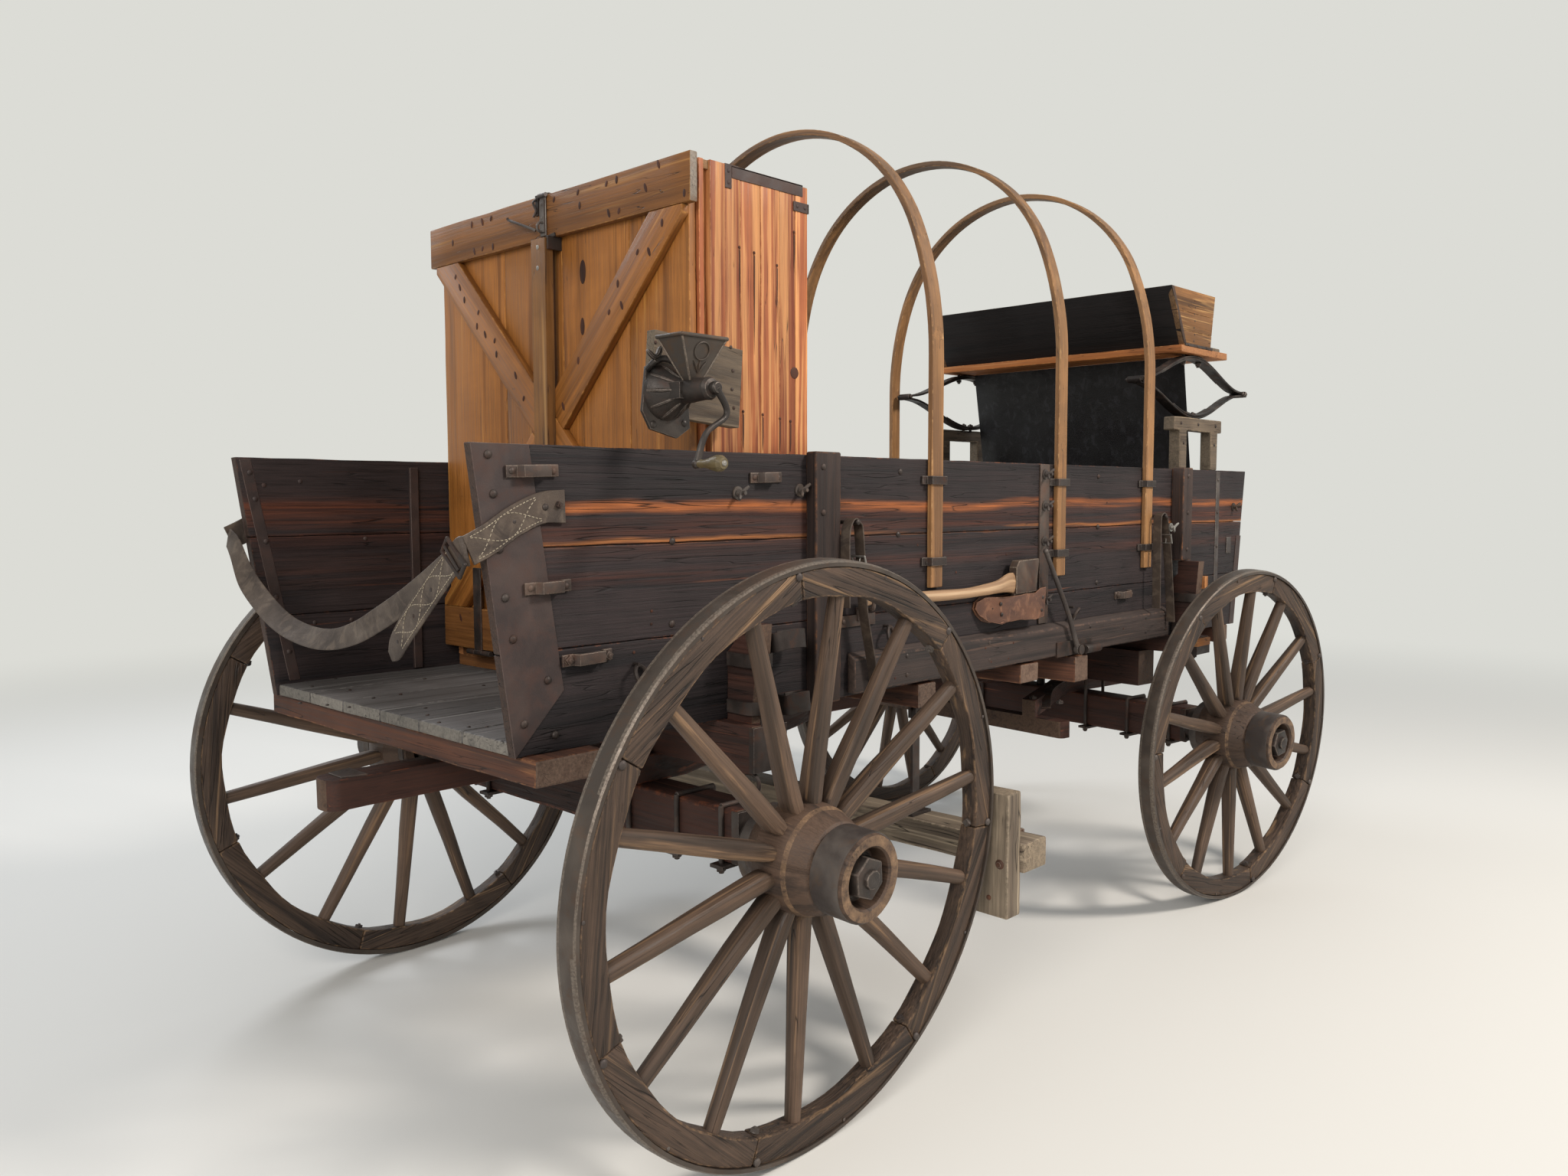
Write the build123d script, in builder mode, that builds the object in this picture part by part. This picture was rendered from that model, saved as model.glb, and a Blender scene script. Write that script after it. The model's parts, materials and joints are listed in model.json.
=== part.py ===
"""Covered wagon fitted out as a trail kitchen, standing with its bows bare.

Millimetres. X points forward, Y to the wagon's left, Z up. The origin is on
the ground, on the centreline, midway between the two axles.
"""

import os
from math import cos, degrees, acos, radians, sin, tan

from build123d import *

# Running gear
WHEELBASE = 2249.0
TRACK = 1670.0            # between the rims' middle planes, at hub height
REAR_WHEEL_R = 622.0
FRONT_WHEEL_R = 562.0
CAMBER = 2.4              # degrees that each wheel leans out at the top
PARK_STEER = 6.5          # degrees that the front gear stands turned to the right
TYRE_W = 50.0
TYRE_T = 14.0
FELLOE_W = 46.0
FELLOE_DEPTH = 58.0
FELLOE_COUNT = 7
FELLOE_SAW_GAP = 1.5
SPOKE_COUNT = 14
SPOKE_ROOT = (34.0, 46.0)     # across the wheel, along the axle
SPOKE_TIP = (34.0, 34.0)
DISH = 28.0               # how far the spoke roots lie inboard of the rim

# Hub, along the axle from the rim's middle plane, outboard positive
HUB_INNER = -140.0
HUB_NOSE = 150.0
HUB_BARREL_R = 116.0
HUB_BARREL = (-66.0, 12.0)
HUB_INNER_R = 86.0
HUB_FRONT_R = 98.0
HUB_FRONT_END = 62.0
HUB_NOSE_R = 88.0
NOSE_RECESS_R = 62.0
NOSE_RECESS_DEPTH = 46.0
BEARING_GAP = 1.0

# Axle arm inside the hub
ARM_ROOT_R = 42.0
ARM_TIP_R = 27.0
ARM_COLLAR_R = 52.0
ARM_COLLAR_W = 44.0
ARM_COLLAR_GAP = 8.0
NUT_R = 38.0
NUT_FACE_GAP = 6.0
NUT_L = 34.0

# Wooden beds
AXLE_BED_INSET = 180.0    # of a bed's end from the rim's middle plane
REAR_AXLE_X_W = 100.0
REAR_AXLE_Z = (580.0, 700.0)
FRONT_AXLE_X_W = 96.0
FRONT_AXLE_Z = (512.0, 632.0)
REACH_T = 68.0
REACH_HALF_Y = 40.0
REACH_Z = (REAR_AXLE_Z[1], REAR_AXLE_Z[1] + REACH_T)
REACH_NOSE = 70.0         # past the king bolt
REACH_END_R = 36.0
BOLSTER_X_W = 100.0
BOLSTER_OVERHANG = 109.0  # of each end past the box's side
REAR_BOLSTER_X = 55.0     # ahead of the rear axle
FRONT_BOLSTER_T = 58.0
STAKE_GAP = 4.0           # between a stake and the box's side
STAKE_DEPTH = 76.0
STAKE_LEAN = 19.0         # how much further out its top lies
STAKE_SHOULDER = 45.0     # height of the narrower top
STAKE_X_W = 44.0
REAR_STAKE_TOP = 1090.0
FRONT_STAKE_TOP = 1139.0
HOUND_T = 56.0
HOUND_W = 54.0
REAR_HOUND_Y = 330.0
REAR_HOUND_FRONT_X = -330.0
REAR_HOUND_TAIL = 110.0
FRONT_HOUND_Y = 170.0
FRONT_HOUND_TAIL = 586.0
FRONT_HOUND_TAIL_Y = 430.0
FRONT_HOUND_NOSE = 330.0
SWAY_BAR_X = 560.0        # behind the king bolt
SWAY_BAR_W = 52.0
SWAY_BAR_T = 55.0
SWAY_BAR_HALF_Y = 540.0
SAND_BOARD_HALF_Y = 470.0
SAND_BOARD_CAP = 38.0
SAND_BOARD_SLOT_HALF = 120.0
GEAR_GAP = 6.0            # running gap between the turning gear and the reach
TURNTABLE_GAP = 0.3
KING_BOLT_R = 16.0
KING_BOLT_GAP = 0.5
KING_HEAD_R = 28.0
KING_HEAD_T = 14.0
DRAW_PIN_R = 11.0
DRAW_PIN_SETBACK = 45.0
TAIL_PIN_R = 11.0
TAIL_PIN_SETBACK = 60.0

# Box
BOX_HALF_Y = 541.0        # outside of the sides
BOARD_T = 22.0
BOX_BOTTOM_Z = 872.0
BOX_TOP_Z = 1466.0
BOX_HALF_X = 1645.0       # at the bottom of the sides
BOX_RAKE = 82.0           # how much further each end reaches at the top
SIDE_SEAMS_Z = (1072.0, 1271.0)
SEAM_GAP = 2.0
FLOOR_T = 27.0
FLOOR_HALF_X = 1640.0
FLOOR_BOARDS = 6
FLOOR_GAP = 3.0
FLOOR_SIDE_GAP = 1.0
HEADBOARD_X = 1600.0
HEADBOARD_T = 22.0
HEADBOARD_TOP_Z = 1400.0

CUT_L = 400.0             # length of a tool that cuts a hole right through
OUTER_BOARD_Z = (880.0, 982.0)
OUTER_BOARD_X = (-680.0, 1036.0)
OUTER_BOARD_T = 26.0
OUTER_BOARD_BEVEL = 16.0
PLATE_T = 3.0
PLATE_TOP_W = 125.0
PLATE_TOE_W = 130.0
PLATE_TOE_Z = 991.0
FRONT_PLATE_W = 40.0
FRONT_PLATE_TOP_Z = 1215.0
IRON_T = 6.0
KEEPER_T = 26.0
KEEPER_H = 24.0
STRAP_IRON_X = (203.0, 254.0)

# Bows
BOW_X = (-329.5, 310.5, 885.5)
BOW_W = 50.0
BOW_T = 16.0
BOW_FOOT_Z = 1125.0
BOW_SPRING_Z = (1740.0, 1782.0, 1782.0)     # where each bow starts to bend
BOW_SHOULDER = 29.0       # how much tighter than half the box the crown is bent
BOW_FLANK = 397.0         # how much slacker than half the box the flanks are bent
BOW_SEAT_GAP = 0.3
STAPLE_Z = (1195.0, 1411.0)
STAPLE_W = 22.0
STAPLE_T = 7.0
STAPLE_EAR = 24.0

# Chuck box
CHUCK_X = (-1136.0, -788.0)
CHUCK_SIDE_GAP = 11.0     # to the inside of the box
CHUCK_Z = (929.0, 2095.0)
CHUCK_T = 20.0
CHUCK_BACK_T = 14.0
CHUCK_SHELVES_Z = (1240.0, 1420.0, 1640.0, 1850.0)
CHUCK_DIVIDERS = ((929.0, 1240.0, 0.0), (1420.0, 1640.0, -170.0), (1420.0, 1640.0, 170.0),
                  (1640.0, 1850.0, -170.0), (1640.0, 1850.0, 170.0))
RUNNER_W = 60.0
LID_BACK_X = -1141.0      # inner face of the lid's boards
LID_T = 19.0
LID_INSET = 3.0           # behind the chuck box's sides
LID_Z = (960.0, 2096.0)
RAIL_T = 21.0
RAIL_OVERHANG = 25.0      # past the chuck box's sides
RAIL_H = 104.0
BOTTOM_RAIL_H = 110.0
BRACE_W = 92.0
LID_SEAM = 2.0
LID_SEAMS_Y = (-300.0, -45.0, 205.0)
LEG_Y = -9.0
LEG_W = 56.0
LEG_T = 24.0
LEG_FOOT_GAP = 6.0        # between the leg's foot and the ground with the lid down
LEG_HINGE_DROP = 20.0     # hinge axis below the leg's upper end
HINGE_Y = (-330.0, 330.0)
HINGE_EYE_R = 7.0
HINGE_PIN_R = 4.0
HINGE_FIT = 0.05
HINGE_DROP = 8.0          # hinge axis below the lid's lower edge
HINGE_EYE_L = 36.0
HINGE_STRAP_T = 4.0
HINGE_STRAP_TOP = 1180.0

# Coffee mill on the chuck box's right rear corner
MILL_BOARD = (250.0, 26.0, 170.0)
MILL_BOARD_CENTRE = (-1192.0, 1612.0)
MILL_BOARD_TILT = 4.5
MILL_BOARD_GAP = 8.0      # between the board and the lid's rail ends
MILL_SHAFT_X = -1290.0
MILL_SHAFT_Z = 1580.0
MILL_BARREL_L = 150.0
MILL_BARREL_R = 24.0
MILL_BLOCK_W = 60.0
MILL_BLOCK_Z = (1545.0, 1680.0)
HOPPER_TOP = (120.0, 70.0)
HOPPER_FOOT = (32.0, 30.0)
HOPPER_OUT = 90.0         # middle of the hopper from the mill's board
HOPPER_TOP_Z = 1682.0
HOPPER_LIP_T = 5.0
CRANK_R = 5.0
CRANK_DROP = (-56.0, -150.0)
KNOB_L = 80.0
KNOB_R = 13.0
MILL_SHAFT_R = 6.0
CRANK_GAP = 5.0

# Seat on springs over the front of the box
SEAT_X = (1165.0, 1551.0)
SEAT_BOTTOM_Z = 1885.0
SEAT_BOARD_T = 25.0
SEAT_INSET = 11.0         # from the outside of the box
SEAT_END_T = 22.0
SEAT_BACK_TOP = (1075.0, 2108.0)
SEAT_BACK_FOOT_X = 1188.0
SEAT_END_FRONT = (1435.0, 1406.0)
SPRING_INSET = 24.0       # of the spring's outer edge from the outside of the box
SPRING_W = 44.0
SPRING_TOP_T = 22.0
SPRING_LOW_T = 10.0
SPRING_END_GAP = 2.0      # of each leaf from the eyes' middle
SPRING_EYES_X = (885.0, 1745.0)
SPRING_EYE_R = 13.0
RISER_X = (1098.0, 1494.0)
RISER_Z = (1606.0, 1652.0)
RISER_POSTS_X = (1172.0, 1432.0)
RISER_POST_W = 58.0
RISER_POST_T = 42.0
APRON_TOP_X = 1322.0      # a sheet of oilcloth that hangs under the seat
APRON_FOOT = (1398.0, 1470.0)
APRON_T = 4.0
APRON_GAP = 8.0           # to the springs
PLANK_X = (1212.0, 1540.0)
PLANK_T = 18.0

# Side gear on the right side
STRAP_T = 5.0
STRAP_PEG_R = 5.0
HANGING_STRAP_W = 32.0
# columns: the peg's x and z, the strap's line in x and z
HANGING_STRAPS = (
    ((-711.0, 1306.0), ((-735.0, 1100.0), (-735.0, 1280.0), (-711.0, 1313.0), (-685.0, 1280.0),
                        (-672.0, 1150.0), (-668.0, 1080.0), (-640.0, 980.0), (-625.0, 905.0))),
    ((920.0, 1301.0), ((900.0, 985.0), (896.0, 1290.0), (920.0, 1308.0), (946.0, 1286.0), (975.0, 1180.0),
                       (996.0, 1050.0), (1014.0, 930.0))),
)
# columns: ahead of the box's foot, height
STRAP_END = ((119.0, 1382.0), (45.0, 1375.0), (-45.0, 1330.0), (-92.2, 1302.0), (-92.2, 1241.0),
             (-45.0, 1244.0), (5.0, 1270.0), (55.0, 1305.0), (119.0, 1318.0))
TAIL_STRAP_W = 52.0
TAIL_STRAP_BACK = 95.0    # its middle plane behind the box's foot
TAIL_STRAP_LINE = ((-544.0, 1272.0), (-392.0, 1199.0), (-207.0, 1116.0), (0.0, 1064.0), (227.0, 1075.0),
                   (433.0, 1167.0), (544.0, 1272.0))
TAIL_TONGUE = ((-560.0, 1262.0), (-534.0, 1300.0), (-262.0, 1108.0), (-250.0, 1076.0), (-268.0, 1044.0),
               (-306.0, 1044.0))
AXE_OUT = 30.0            # middle plane of the axe from the box's side
AXE_HANDLE_T = 22.0
AXE_HEAD_T = 26.0
AXE_BLADE_T = 10.0
AXE_HANDLE = ((-658.0, 1091.0), (-595.0, 1103.0), (-340.0, 1089.0), (-120.0, 1092.0), (22.0, 1087.0),
              (22.0, 1150.0), (4.0, 1148.0), (-90.0, 1127.0), (-200.0, 1117.0), (-340.0, 1120.0),
              (-595.0, 1125.0), (-658.0, 1123.0))
AXE_HEAD = ((22.0, 1090.0), (22.0, 1166.0), (38.0, 1184.0), (138.0, 1184.0), (126.0, 1090.0))
AXE_BLADE = ((30.0, 1019.5), (22.0, 1090.0), (126.0, 1090.0), (120.0, 1019.5))
AXE_SHELF_X = (-738.0, -577.0)
AXE_SHELF_Z = (1046.0, 1074.0)
AXE_HOOK_X = (-650.0, -638.0)
AXE_HOOK_Z = 1092.0
HOLDER = ((-143.0, 1058.0), (-100.0, 1084.0), (140.0, 1086.0), (171.0, 1088.0), (161.0, 1010.0),
          (-46.0, 1013.0), (-125.0, 1032.0))
HOLDER_HOLLOW_X = (-40.0, 150.0)
HOLDER_FLOOR_Z = 1019.0
HOLDER_T = 5.0
HASP_Y = -3.0
HASP_W = 24.0
HASP_RISE = 6.0

# Brake
BRAKE_GAP = 18.5          # between a block and its wheel at hub height
BRAKE_BLOCK = (60.0, 105.0, 310.0)
BRAKE_BLOCK_Z = 335.0
BRAKE_BEAM_W = 104.0
BRAKE_BEAM_Z = (438.0, 512.0)
BRAKE_BEAM_PAST = 62.0    # past the middle of the tread
BRAKE_SILL_DEPTH = 64.0
BRAKE_HINGE_Z = 788.0
BRAKE_LINK_Y = 520.0
BRAKE_LINK = (30.0, 8.0)
BRAKE_PIN_R = 6.0
BRAKE_FOOT = (80.0, 50.0)
BRACKET_X = (271.0, 478.0)
BRACKET_Z = (876.0, 922.0)
BRACKET_ROLL_X = (412.0, 500.0)
BRACKET_ROLL_R = 14.0
LEVER_POINTS = ((376.0, 893.0), (312.0, 1012.0), (178.0, 1205.0))
LEVER_R = 7.5
LEVER_EYE_R = 15.0
LEVER_EYE_T = 16.0
LEVER_PIN_R = 8.0
LEVER_PLATE_GAP = 2.0     # between the lever's eye and its bracket

AXLE_BED_HALF_Y = TRACK / 2 - AXLE_BED_INSET
BOX_HALF_IN = BOX_HALF_Y - BOARD_T
BOLSTER_HALF_Y = BOX_HALF_Y + BOLSTER_OVERHANG
STAKE_IN = BOX_HALF_Y + STAKE_GAP
CHUCK_HALF_Y = BOX_HALF_IN - CHUCK_SIDE_GAP
LID_HALF_Y = CHUCK_HALF_Y - LID_INSET
RAIL_HALF_Y = CHUCK_HALF_Y + RAIL_OVERHANG
SEAT_HALF_Y = BOX_HALF_Y - SEAT_INSET
SPRING_Y = BOX_HALF_Y - SPRING_INSET - SPRING_W / 2
FLOOR_TOP_Z = BOX_BOTTOM_Z + FLOOR_T
REAR_X = -WHEELBASE / 2
KING_X = WHEELBASE / 2
HINGE_X = LID_BACK_X - LID_T - RAIL_T
HINGE_Z = LID_Z[0] - HINGE_DROP

steer_rad = radians(PARK_STEER)
FRONT_REACH_X = (KING_X + (TRACK + TYRE_W) / 2 * sin(steer_rad)
                 + FRONT_WHEEL_R * cos(steer_rad))
REACH_TAIL_X = -FRONT_REACH_X

os.makedirs("parts", exist_ok=True)
nodes = {}


def keep(name, shape):
    """Label a finished piece and remember it under its node name."""
    shape.label = name
    nodes[name] = shape


def beam(x, y, z, mode=Mode.ADD):
    """Add a squared timber that spans the given ranges of x, y and z."""
    with Locations(((x[0] + x[1]) / 2, (y[0] + y[1]) / 2, (z[0] + z[1]) / 2)):
        Box(x[1] - x[0], y[1] - y[0], z[1] - z[0], mode=mode)


def lying(x, y, z):
    """Give the frame of a cylinder that lies along Y."""
    return Location((x, y, z), (90, 0, 0))


def around(centre, width):
    """Give the range of a width about a centre."""
    return (centre - width / 2, centre + width / 2)


def panel(points, y, thickness):
    """Make an upright panel drawn in X and Z, from y outward to the right."""
    with BuildPart() as made:
        with BuildSketch(Plane.XZ.offset(y)):
            with BuildLine():
                Polyline(*points, close=True)
            make_face()
        extrude(amount=thickness)
    return made.part


def rod(points, radius):
    """Make a round bar along straight stretches, with a ball at each bend."""
    with BuildPart() as made:
        for start, end in zip(points, points[1:]):
            run = Vector(*end) - Vector(*start)
            with BuildSketch(Plane(origin=start, z_dir=run)):
                Circle(radius)
            extrude(amount=run.length)
        with Locations(*points[1:]):
            Sphere(radius)
    return made.part


def side_end_x(z):
    """Give how far forward the raked end of a side board lies at height z."""
    return BOX_HALF_X + BOX_RAKE * (z - BOX_BOTTOM_Z) / (BOX_TOP_Z - BOX_BOTTOM_Z)


def turned(shape):
    """Turn a piece of the front gear about the king bolt to where it stands."""
    to_king = Location((KING_X, 0, 0))
    return shape.moved(to_king * Location((0, 0, 0), (0, 0, -PARK_STEER)) * to_king.inverse())


def wheel_place(x, side, radius):
    """Give the frame of a wheel: its Z along the axle, outboard."""
    lean = radians(CAMBER)
    centre = (x, side * TRACK / 2, radius * cos(lean))
    return Plane(origin=centre, x_dir=(1, 0, 0), z_dir=(0, side * cos(lean), -sin(lean))).location


# Wheels: each is made about its own axle, its Z pointing outboard
def make_tyre(radius):
    """Make an iron tyre whose tread is flat on the ground in spite of the camber."""
    cone = TYRE_W / 2 * tan(radians(CAMBER))
    inner = radius - TYRE_T
    with BuildPart() as tyre:
        with BuildSketch(Plane.XZ):
            with BuildLine():
                Polyline((inner, -TYRE_W / 2), (radius + cone, -TYRE_W / 2),
                         (radius - cone, TYRE_W / 2), (inner, TYRE_W / 2), close=True)
            make_face()
        revolve(axis=Axis.Z)
    return tyre.part


def make_woodwork(radius):
    """Make the felloes with the two spokes that each of them carries."""
    outer = radius - TYRE_T
    inner = outer - FELLOE_DEPTH
    root = HUB_BARREL_R + 0.3
    with BuildPart() as wood:
        with BuildSketch(Plane.XY.offset(-FELLOE_W / 2)):
            Circle(outer)
            Circle(inner, mode=Mode.SUBTRACT)
        extrude(amount=FELLOE_W)
        chamfer(wood.edges().filter_by(GeomType.CIRCLE).sort_by(SortBy.RADIUS)[:2], 6)
        with PolarLocations(0, FELLOE_COUNT):
            with Locations((outer - FELLOE_DEPTH / 2, 0, 0)):
                Box(FELLOE_DEPTH * 2, FELLOE_SAW_GAP, FELLOE_W * 2, mode=Mode.SUBTRACT)
    with BuildPart() as spoke:
        with BuildSketch(Plane.YZ.offset(root)):
            with Locations((0, -DISH)):
                Ellipse(SPOKE_ROOT[0] / 2, SPOKE_ROOT[1] / 2)
        with BuildSketch(Plane.YZ.offset(inner + 12)):
            Ellipse(SPOKE_TIP[0] / 2, SPOKE_TIP[1] / 2)
        loft(ruled=True)
    with BuildPart() as joined:
        add(wood.part)
        with PolarLocations(0, SPOKE_COUNT, start_angle=180 / SPOKE_COUNT):
            add(spoke.part)
    return joined.part


def arm_radius(along):
    """Give the axle arm's radius at a place along the axle."""
    share = (along - HUB_INNER) / (HUB_NOSE - NOSE_RECESS_DEPTH - HUB_INNER)
    return ARM_ROOT_R + (ARM_TIP_R - ARM_ROOT_R) * share


def make_hub():
    """Make the turned wooden hub with its bore and its recessed nose."""
    recess = HUB_NOSE - NOSE_RECESS_DEPTH
    outline = [
        (arm_radius(HUB_INNER) + BEARING_GAP, HUB_INNER),
        (HUB_INNER_R, HUB_INNER),
        (HUB_INNER_R + 4, HUB_BARREL[0] - 22),
        (HUB_BARREL_R, HUB_BARREL[0]),
        (HUB_BARREL_R, HUB_BARREL[1]),
        (HUB_FRONT_R, HUB_BARREL[1] + 10),
        (HUB_FRONT_R - 2, HUB_FRONT_END),
        (HUB_NOSE_R, HUB_FRONT_END + 8),
        (HUB_NOSE_R, HUB_NOSE),
        (NOSE_RECESS_R, HUB_NOSE),
        (NOSE_RECESS_R, recess),
        (arm_radius(recess) + BEARING_GAP, recess),
    ]
    with BuildPart() as hub:
        with BuildSketch(Plane.XZ):
            with BuildLine():
                Polyline(*outline, close=True)
            make_face()
        revolve(axis=Axis.Z)
    return hub.part


def make_arm():
    """Make the iron axle arm with its collar and its nut."""
    recess = HUB_NOSE - NOSE_RECESS_DEPTH
    collar_out = HUB_INNER - ARM_COLLAR_GAP
    root = collar_out - ARM_COLLAR_W
    nut_in = recess + NUT_FACE_GAP
    outline = [
        (0, root),
        (ARM_COLLAR_R, root),
        (ARM_COLLAR_R, collar_out),
        (arm_radius(collar_out), collar_out),
        (arm_radius(nut_in), nut_in),
        (NUT_R, nut_in),
        (NUT_R, nut_in + NUT_L),
        (0, nut_in + NUT_L),
    ]
    with BuildPart() as arm:
        with BuildSketch(Plane.XZ):
            with BuildLine():
                Polyline(*outline, close=True)
            make_face()
        revolve(axis=Axis.Z)
    return arm.part


hub_shape = make_hub()
arm_shape = make_arm()

# columns: node prefix, axle x, side (+1 left), radius, front gear, degrees that it has rolled
wheel_table = (
    ("rear_left", REAR_X, 1, REAR_WHEEL_R, False, 6.0),
    ("rear_right", REAR_X, -1, REAR_WHEEL_R, False, -4.4),
    ("front_left", KING_X, 1, FRONT_WHEEL_R, True, 11.0),
    ("front_right", KING_X, -1, FRONT_WHEEL_R, True, 24.4),
)
arms = {"rear": [], "front": []}
rims = {radius: (make_tyre(radius), make_woodwork(radius)) for radius in (REAR_WHEEL_R, FRONT_WHEEL_R)}
for prefix, axle_x, side, radius, on_gear, rolled in wheel_table:
    place = wheel_place(axle_x, side, radius)
    tyre_shape, wood_shape = rims[radius]
    for suffix, shape in (("tyre", tyre_shape), ("woodwork", wood_shape), ("hub", hub_shape)):
        placed = shape.moved(place * Location((0, 0, 0), (0, 0, rolled)))
        keep(f"{prefix}_{suffix}", turned(placed) if on_gear else placed)
    with BuildPart() as arm:
        add(arm_shape.moved(place))
        with Locations((axle_x, 0, radius)):
            Box(CUT_L, 2 * AXLE_BED_HALF_Y, CUT_L, mode=Mode.SUBTRACT)
    arms["front" if on_gear else "rear"].append(turned(arm.part) if on_gear else arm.part)

for end, pair in arms.items():
    with BuildPart() as axle_arms:
        add(pair)
    keep(f"{end}_axle_arms", axle_arms.part)

# Rear gear
with BuildPart() as rear_axle:
    beam(around(REAR_X, REAR_AXLE_X_W), (-AXLE_BED_HALF_Y, AXLE_BED_HALF_Y), REAR_AXLE_Z)
    chamfer(rear_axle.edges().filter_by(Axis.Y), 6)
keep("rear_axle", rear_axle.part)

with BuildPart() as reach:
    beam((REACH_TAIL_X, KING_X + REACH_NOSE), (-REACH_HALF_Y, REACH_HALF_Y), REACH_Z)
    fillet(reach.edges().filter_by(Axis.Z).group_by(Axis.X)[0], REACH_END_R)
    with Locations((KING_X, 0, REACH_Z[0])):
        Cylinder(KING_BOLT_R + KING_BOLT_GAP, CUT_L, mode=Mode.SUBTRACT)
    with Locations((REACH_TAIL_X + TAIL_PIN_SETBACK, 0, REACH_Z[0])):
        Cylinder(TAIL_PIN_R, CUT_L, mode=Mode.SUBTRACT)
keep("reach", reach.part)

with BuildPart() as rear_hounds:
    with BuildSketch(Plane.XY.offset(REACH_Z[0])):
        with BuildLine():
            Polyline((REAR_X - REAR_HOUND_TAIL, REAR_HOUND_Y), (REAR_X + BOLSTER_X_W, REAR_HOUND_Y),
                     (REAR_HOUND_FRONT_X, REACH_HALF_Y + HOUND_W),
                     (REAR_HOUND_FRONT_X, REACH_HALF_Y),
                     (REAR_HOUND_FRONT_X - 2 * HOUND_W, REACH_HALF_Y),
                     (REAR_X + BOLSTER_X_W, REAR_HOUND_Y - HOUND_W),
                     (REAR_X - REAR_HOUND_TAIL, REAR_HOUND_Y - HOUND_W), close=True)
        make_face()
    extrude(amount=REACH_Z[1] - REACH_Z[0])
    mirror(about=Plane.XZ)
keep("rear_hounds", rear_hounds.part)

def stakes(x, top_z):
    """Make the two stakes that hold the box on a bolster."""
    with BuildPart() as made:
        with BuildSketch(Plane.YZ.offset(x - STAKE_X_W / 2)):
            with BuildLine():
                Polyline((STAKE_IN, BOX_BOTTOM_Z), (STAKE_IN + STAKE_DEPTH, BOX_BOTTOM_Z),
                         (STAKE_IN + STAKE_DEPTH + STAKE_LEAN, top_z), (STAKE_IN + STAKE_LEAN, top_z),
                         (STAKE_IN + STAKE_LEAN, top_z - STAKE_SHOULDER),
                         (STAKE_IN, top_z - STAKE_SHOULDER - STAKE_LEAN), close=True)
            make_face()
            mirror(about=Plane.YZ)
        extrude(amount=STAKE_X_W)
    return made.part


with BuildPart() as rear_bolster:
    bolster_x = REAR_X + REAR_BOLSTER_X
    beam(around(bolster_x, BOLSTER_X_W), (-BOLSTER_HALF_Y, BOLSTER_HALF_Y), (REACH_Z[1], BOX_BOTTOM_Z))
    add(stakes(bolster_x, REAR_STAKE_TOP))
keep("rear_bolster", rear_bolster.part)

# Front gear and the bolster that stands on it
front_stack_top = BOX_BOTTOM_Z - FRONT_BOLSTER_T
with BuildPart() as front_bolster:
    beam(around(KING_X, BOLSTER_X_W), (-BOLSTER_HALF_Y, BOLSTER_HALF_Y), (front_stack_top, BOX_BOTTOM_Z))
    add(stakes(KING_X, FRONT_STAKE_TOP))
    with Locations((KING_X, 0, front_stack_top)):
        Cylinder(KING_BOLT_R + KING_BOLT_GAP, CUT_L, mode=Mode.SUBTRACT)
keep("front_bolster", front_bolster.part)

sand_top = front_stack_top - TURNTABLE_GAP
hound_z = (FRONT_AXLE_Z[1], FRONT_AXLE_Z[1] + HOUND_T)
with BuildPart() as sand_board:
    beam(around(KING_X, FRONT_AXLE_X_W), (-SAND_BOARD_HALF_Y, SAND_BOARD_HALF_Y), (hound_z[1], sand_top))
    beam(around(KING_X, FRONT_AXLE_X_W * 2), (-SAND_BOARD_SLOT_HALF, SAND_BOARD_SLOT_HALF),
         (hound_z[1], REACH_Z[1] + GEAR_GAP), mode=Mode.SUBTRACT)
    with Locations((KING_X, 0, sand_top)):
        Cylinder(KING_BOLT_R + KING_BOLT_GAP, CUT_L / 2, mode=Mode.SUBTRACT)
keep("sand_board", turned(sand_board.part))

with BuildPart() as front_axle:
    beam(around(KING_X, FRONT_AXLE_X_W), (-AXLE_BED_HALF_Y, AXLE_BED_HALF_Y), FRONT_AXLE_Z)
    chamfer(front_axle.edges().filter_by(Axis.Y), 6)
    with Locations((KING_X, 0, FRONT_AXLE_Z[0])):
        Cylinder(KING_BOLT_R + KING_BOLT_GAP, CUT_L, mode=Mode.SUBTRACT)
keep("front_axle", turned(front_axle.part))

with BuildPart() as front_hounds:
    with BuildSketch(Plane.XY.offset(hound_z[0])):
        with BuildLine():
            inner_y = FRONT_HOUND_Y - HOUND_W / 2
            outer_y = FRONT_HOUND_Y + HOUND_W / 2
            Polyline((KING_X + FRONT_HOUND_NOSE, inner_y), (KING_X - FRONT_AXLE_X_W, inner_y),
                     (KING_X - FRONT_HOUND_TAIL, FRONT_HOUND_TAIL_Y - HOUND_W),
                     (KING_X - FRONT_HOUND_TAIL, FRONT_HOUND_TAIL_Y),
                     (KING_X - FRONT_AXLE_X_W, outer_y), (KING_X + FRONT_HOUND_NOSE, outer_y), close=True)
        make_face()
        mirror(about=Plane.XZ)
    extrude(amount=HOUND_T)
    with Locations(lying(KING_X + FRONT_HOUND_NOSE - DRAW_PIN_SETBACK, 0, sum(hound_z) / 2)):
        Cylinder(DRAW_PIN_R, 4 * FRONT_HOUND_Y, mode=Mode.SUBTRACT)
with BuildPart() as sway_bar:
    beam(around(KING_X - SWAY_BAR_X, SWAY_BAR_W), (-SWAY_BAR_HALF_Y, SWAY_BAR_HALF_Y),
         (hound_z[0] - SWAY_BAR_T, hound_z[0]))
    fillet(sway_bar.edges().filter_by(Axis.Z), SWAY_BAR_W / 3)
with BuildPart() as hounds_and_bar:
    add(front_hounds.part)
    add(sway_bar.part)
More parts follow.
